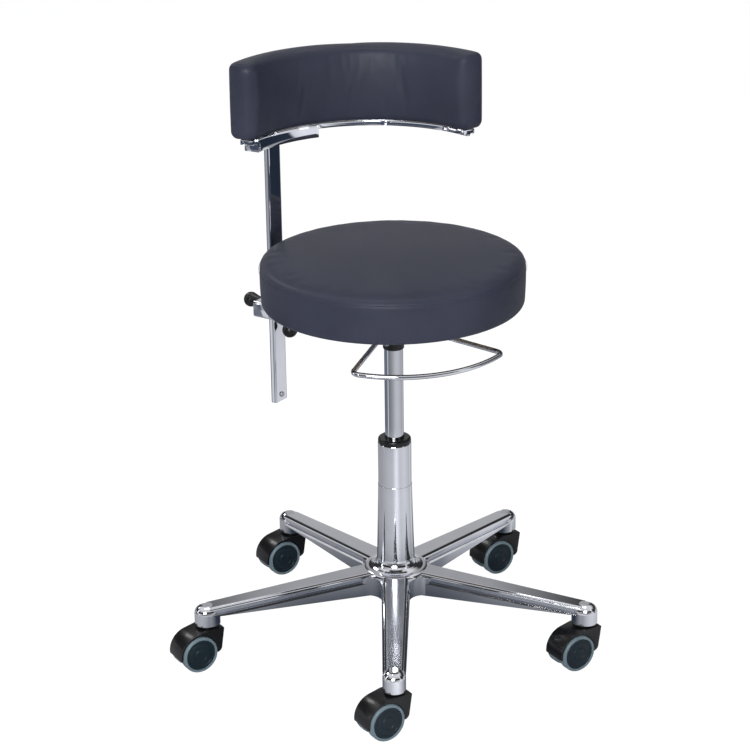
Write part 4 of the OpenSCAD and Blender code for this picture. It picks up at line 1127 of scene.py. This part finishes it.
@dataclass
class Studio:
    """Camera, floor, world and lamps."""
    lens: float = 110.5
    sensor: float = 36.0
    eye: Point = (-27.6, -3150.0, 1637.0)
    pitch: float = 21.05
    roll: float = -0.8
    floor_z: float = -0.4
    floor_rings: Shares = (400.0, 900.0, 2000.0, 5000.0, 14000.0)
    matte_floor: Tint = (0.62, 0.62, 0.63, 1.0)
    bright_floor: Tint = (0.95, 0.95, 0.95, 1.0)
    floor_glow: float = 1.17
    glow_share: float = 0.80
    ambient: Tint = (0.93, 0.95, 1.0, 1.0)
    ambient_strength: float = 0.31
    # The wall behind the chair starts and ends at these sizes of a level direction's Y; the other
    # zones are metres from the axis.
    back_zone: Pair = (0.980, 0.992)
    middle_zone: Pair = (0.74, 0.86)
    far_zone: Pair = (1.45, 1.75)
    # Painted shadow: towards the chair's axis, the glowing floor that metal mirrors darkens to this colour, in place
    # of the chair's shade.
    painted_shadow_zone: Pair = (0.12, 0.50)
    painted_shadow: Tint = (0.030, 0.042, 0.062, 1.0)
    tinted_below: float = 0.3
    # Degrees round the axis, 0 behind the chair, and level. Height, 0 down and 1 up, for the walls.
    # Painted reflections: for glossy rays only, the floor glows at these levels, so that metal shows bright and dark
    # bands.
    near_sectors: Stops = (
        (-180, 1.03), (-169, 0.76), (-158, 0.69), (-134, 0.64), (-109, 0.56), (-78, 0.47), (-30, 0.42),
        (28, 0.52), (51, 0.56), (53, 0.86), (62, 0.86), (64, 0.59), (78, 0.68), (94, 0.77), (115, 0.86), (134, 0.81),
        (146, 0.77), (158, 0.96), (169, 1.22), (180, 1.03),
    )
    middle_sectors: Stops = (
        (-180, 0.56), (-169, 0.47), (-158, 0.41), (-146, 0.35), (-134, 0.30), (-110, 0.25),
        (-108, 0.83), (-98, 0.83), (-96, 0.23), (-40, 0.18),
        (30, 0.28), (51, 0.37), (53, 0.86), (62, 0.86), (64, 0.43), (78, 0.50), (94, 0.57), (109, 0.63), (134, 0.70),
        (158, 0.69), (180, 0.56),
    )
    side_wall: Stops = (
        (0.0, 0.75), (0.50, 0.9), (0.53, 0.7), (0.57, 0.05), (0.785, 0.03), (0.83, 0.45), (0.91, 0.95), (1.0, 0.8),
    )
    back_wall: Stops = (
        (0.0, 0.75), (0.50, 0.9), (0.56, 0.72), (0.64, 0.50), (0.72, 0.44), (0.80, 0.5), (0.90, 0.95), (1.0, 0.8),
    )
    far_sectors: Stops = (
        (-180, 0.10), (-150, 0.09), (-112, 0.10), (-110, 0.46), (-101, 0.46), (-98, 0.12), (-80, 0.40), (-40, 0.30),
        (20, 0.30), (52, 0.42), (58, 0.03), (102, 0.04), (106, 0.90), (118, 1.10), (140, 0.95), (152, 0.40),
        (164, 0.14), (180, 0.10),
    )

    def camera(self) -> None:
        """The photograph's viewpoint."""
        data = bpy.data.cameras.new("viewpoint")
        data.lens = self.lens
        data.sensor_width = self.sensor
        data.clip_start, data.clip_end = 0.1, 60.0
        camera = put("viewpoint", data)
        turn = Matrix.Rotation(radians(90 - self.pitch), 4, "X") @ Matrix.Rotation(radians(self.roll), 4, "Z")
        camera.matrix_world = Matrix.Translation(Vector(self.eye) * MM) @ turn
        bpy.context.scene.camera = camera

    def floor(self) -> None:
        """A white floor that keeps a soft shadow."""
        skin = Skin()
        circle = between(0.0, 2 * pi, 64)[:-1]
        rings = [skin.add_ring([around(r, a, self.floor_z) for a in circle]) for r in self.floor_rings]
        skin.loft(rings)
        skin.fan(rings[0], (0.0, 0.0, self.floor_z))
        floor = skin.build("studio_floor")
        material = bpy.data.materials.new("studio_floor")
        material.use_nodes = True
        tree = material.node_tree
        tree.nodes.clear()
        rays = add_node(tree, "LightPath").outputs
        matte = add_node(tree, "BsdfDiffuse", Color=self.matte_floor).outputs[0]
        bright = add_node(tree, "BsdfDiffuse", Color=self.bright_floor).outputs[0]
        glow = add_node(tree, "Emission", Strength=self.floor_glow).outputs[0]
        seen = add_node(tree, "MixShader", _0=self.glow_share, _1=bright, _2=glow).outputs[0]
        # Glossy rays see the floor as a glow of painted reflections and painted shadow, shown in metal.
        unseen = choose(tree, rays["Is Glossy Ray"], matte, self.painted_floor_reflection(tree))
        add_node(tree, "OutputMaterial", Surface=choose(tree, rays["Is Camera Ray"], unseen, seen))
        floor.data.materials.append(material)

    def painted_floor_reflection(self, tree: Tree) -> Socket:
        """A glow of the floor that only glossy rays see: painted reflections of bright and dark sectors, and painted
        shadow below the chair.

        Args:
            tree: The floor material's tree.

        Returns:
            The shader's socket.
        """
        place = add_node(tree, "TexCoord").outputs["Object"]
        across = add_node(tree, "SeparateXYZ", _0=place).outputs
        angle = add_node(tree, "Math", operation="ARCTAN2", _0=across["X"], _1=across["Y"]).outputs[0]
        turn = add_node(tree, "MapRange", Value=angle, From_Min=-pi, From_Max=pi).outputs["Result"]
        reach = add_node(tree, "VectorMath", operation="LENGTH", _0=place).outputs["Value"]
        colour = self.sector_ramp(tree, turn, self.near_sectors)
        for sectors, zone in ((self.middle_sectors, self.middle_zone), (self.far_sectors, self.far_zone)):
            colour = blend(tree, fade(tree, reach, zone), colour, self.sector_ramp(tree, turn, sectors))
        # Painted shadow under the chair, near the axis.
        colour = blend(tree, fade(tree, reach, self.painted_shadow_zone), self.painted_shadow, colour)
        return add_node(tree, "Emission", Color=colour).outputs[0]

    def sector_ramp(self, tree: Tree, turn: Socket, sectors: Stops) -> Socket:
        """A ramp of painted reflection levels round the chair's axis, bluish at low levels.

        Args:
            tree: The floor material's tree.
            turn: The direction round the axis, 0 to 1, 0.5 behind the chair.
            sectors: Direction in degrees and level of each stop.

        Returns:
            The ramp's colour.
        """
        stops = []
        for place, level in sectors:
            blue = max(0.0, self.tinted_below - level)
            colour = (level * (0.965 - blue), level * 0.975, level * (1.015 + 2.0 * blue), 1.0)
            stops.append((place / 360.0 + 0.5, colour))
        return self.ramp(tree, turn, stops)

    def world(self) -> None:
        """White to the camera; to metal a studio with a bright horizon and a dark upper room."""
        world = bpy.data.worlds.new("studio")
        bpy.context.scene.world = world
        world.use_nodes = True
        tree = world.node_tree
        tree.nodes.clear()
        rays = add_node(tree, "LightPath").outputs
        way = add_node(tree, "TexCoord").outputs["Generated"]
        upward = add_node(tree, "SeparateXYZ", _0=way).outputs["Z"]
        height = add_node(tree, "MapRange", Value=upward, From_Min=-1.0).outputs["Result"]
        flat = add_node(tree, "VectorMath", operation="MULTIPLY", _0=way, _1=(1.0, 1.0, 0.0)).outputs[0]
        level_way = add_node(tree, "VectorMath", operation="NORMALIZE", _0=flat).outputs[0]
        behind = fade(tree, add_node(tree, "SeparateXYZ", _0=level_way).outputs["Y"], self.back_zone)
        sides, back = (self.height_ramp(tree, height, wall) for wall in (self.side_wall, self.back_wall))
        ambient = add_node(tree, "Background", Color=self.ambient, Strength=self.ambient_strength).outputs[0]
        mirror = add_node(tree, "Background", Color=blend(tree, behind, sides, back)).outputs[0]
        white = add_node(tree, "Background", Color=(1.0, 1.0, 1.0, 1.0)).outputs[0]
        unseen = choose(tree, rays["Is Glossy Ray"], ambient, mirror)
        add_node(tree, "OutputWorld", Surface=choose(tree, rays["Is Camera Ray"], unseen, white))

    def height_ramp(self, tree: Tree, height: Socket, stops: Stops) -> Socket:
        """A ramp of levels from straight down, 0, to straight up, 1."""
        return self.ramp(tree, height, [(place, (level, level, level * 1.01, 1.0)) for place, level in stops])

    def ramp(self, tree: Tree, value: Socket, stops: Sequence[Tuple[float, Tint]]) -> Socket:
        """A colour ramp.

        Args:
            tree: The tree.
            value: What drives it, 0 to 1.
            stops: Place and colour of each stop.

        Returns:
            The ramp's colour.
        """
        node = add_node(tree, "ValToRGB", Fac=value)
        while len(node.color_ramp.elements) < len(stops):
            node.color_ramp.elements.new(0.5)
        for element, (place, colour) in zip(node.color_ramp.elements, stops):
            element.position = place
            element.color = colour
        return node.outputs["Color"]

    def lamp(self, name: str, place: Point, aim: float, size: Pair, power: float) -> None:
        """A rectangular soft lamp.

        Args:
            name: The lamp's name.
            place: Where it hangs, in metres.
            aim: The height on the chair's axis that it points at, in metres.
            size: Its width and height, in metres.
            power: Its power in watts.
        """
        data = bpy.data.lights.new(name, "AREA")
        data.shape = "RECTANGLE"
        data.size, data.size_y = size
        data.energy = power
        turn = (Vector((0.0, 0.0, aim)) - Vector(place)).to_track_quat("-Z", "Y").to_matrix().to_4x4()
        put(name, data).matrix_world = Matrix.Translation(Vector(place)) @ turn

    def build(self) -> None:
        """Sets the whole studio up."""
        self.camera()
        self.floor()
        self.world()
        self.lamp("key_lamp", (-0.4, -2.5, 1.5), 0.55, (1.1, 1.1), 66.0)
        self.lamp("fill_lamp", (2.2, -1.2, 1.5), 0.5, (0.5, 1.8), 2.0)
        self.lamp("top_lamp", (-0.15, 0.4, 2.7), 0.6, (0.9, 0.5), 6.5)
        self.lamp("back_lamp", (-1.9, 2.1, 2.6), 0.5, (0.8, 0.8), 14.0)
        self.lamp("strip_lamp", (-2.3, -0.2, 1.1), 0.4, (0.25, 1.8), 4.0)
        bpy.context.scene.view_settings.view_transform = "Standard"


def main() -> None:
    """Builds the chair and its studio in order."""
    logging.basicConfig(level=logging.INFO, format="%(name)s: %(message)s")
    Studio().build()
    CarriedParts().build()
    SeatUpholstery().build()
    BackPad().build()
    for number in range(1, 6):
        Castor(number).build()
    Fittings().build()


if __name__ == "__main__":
    main()
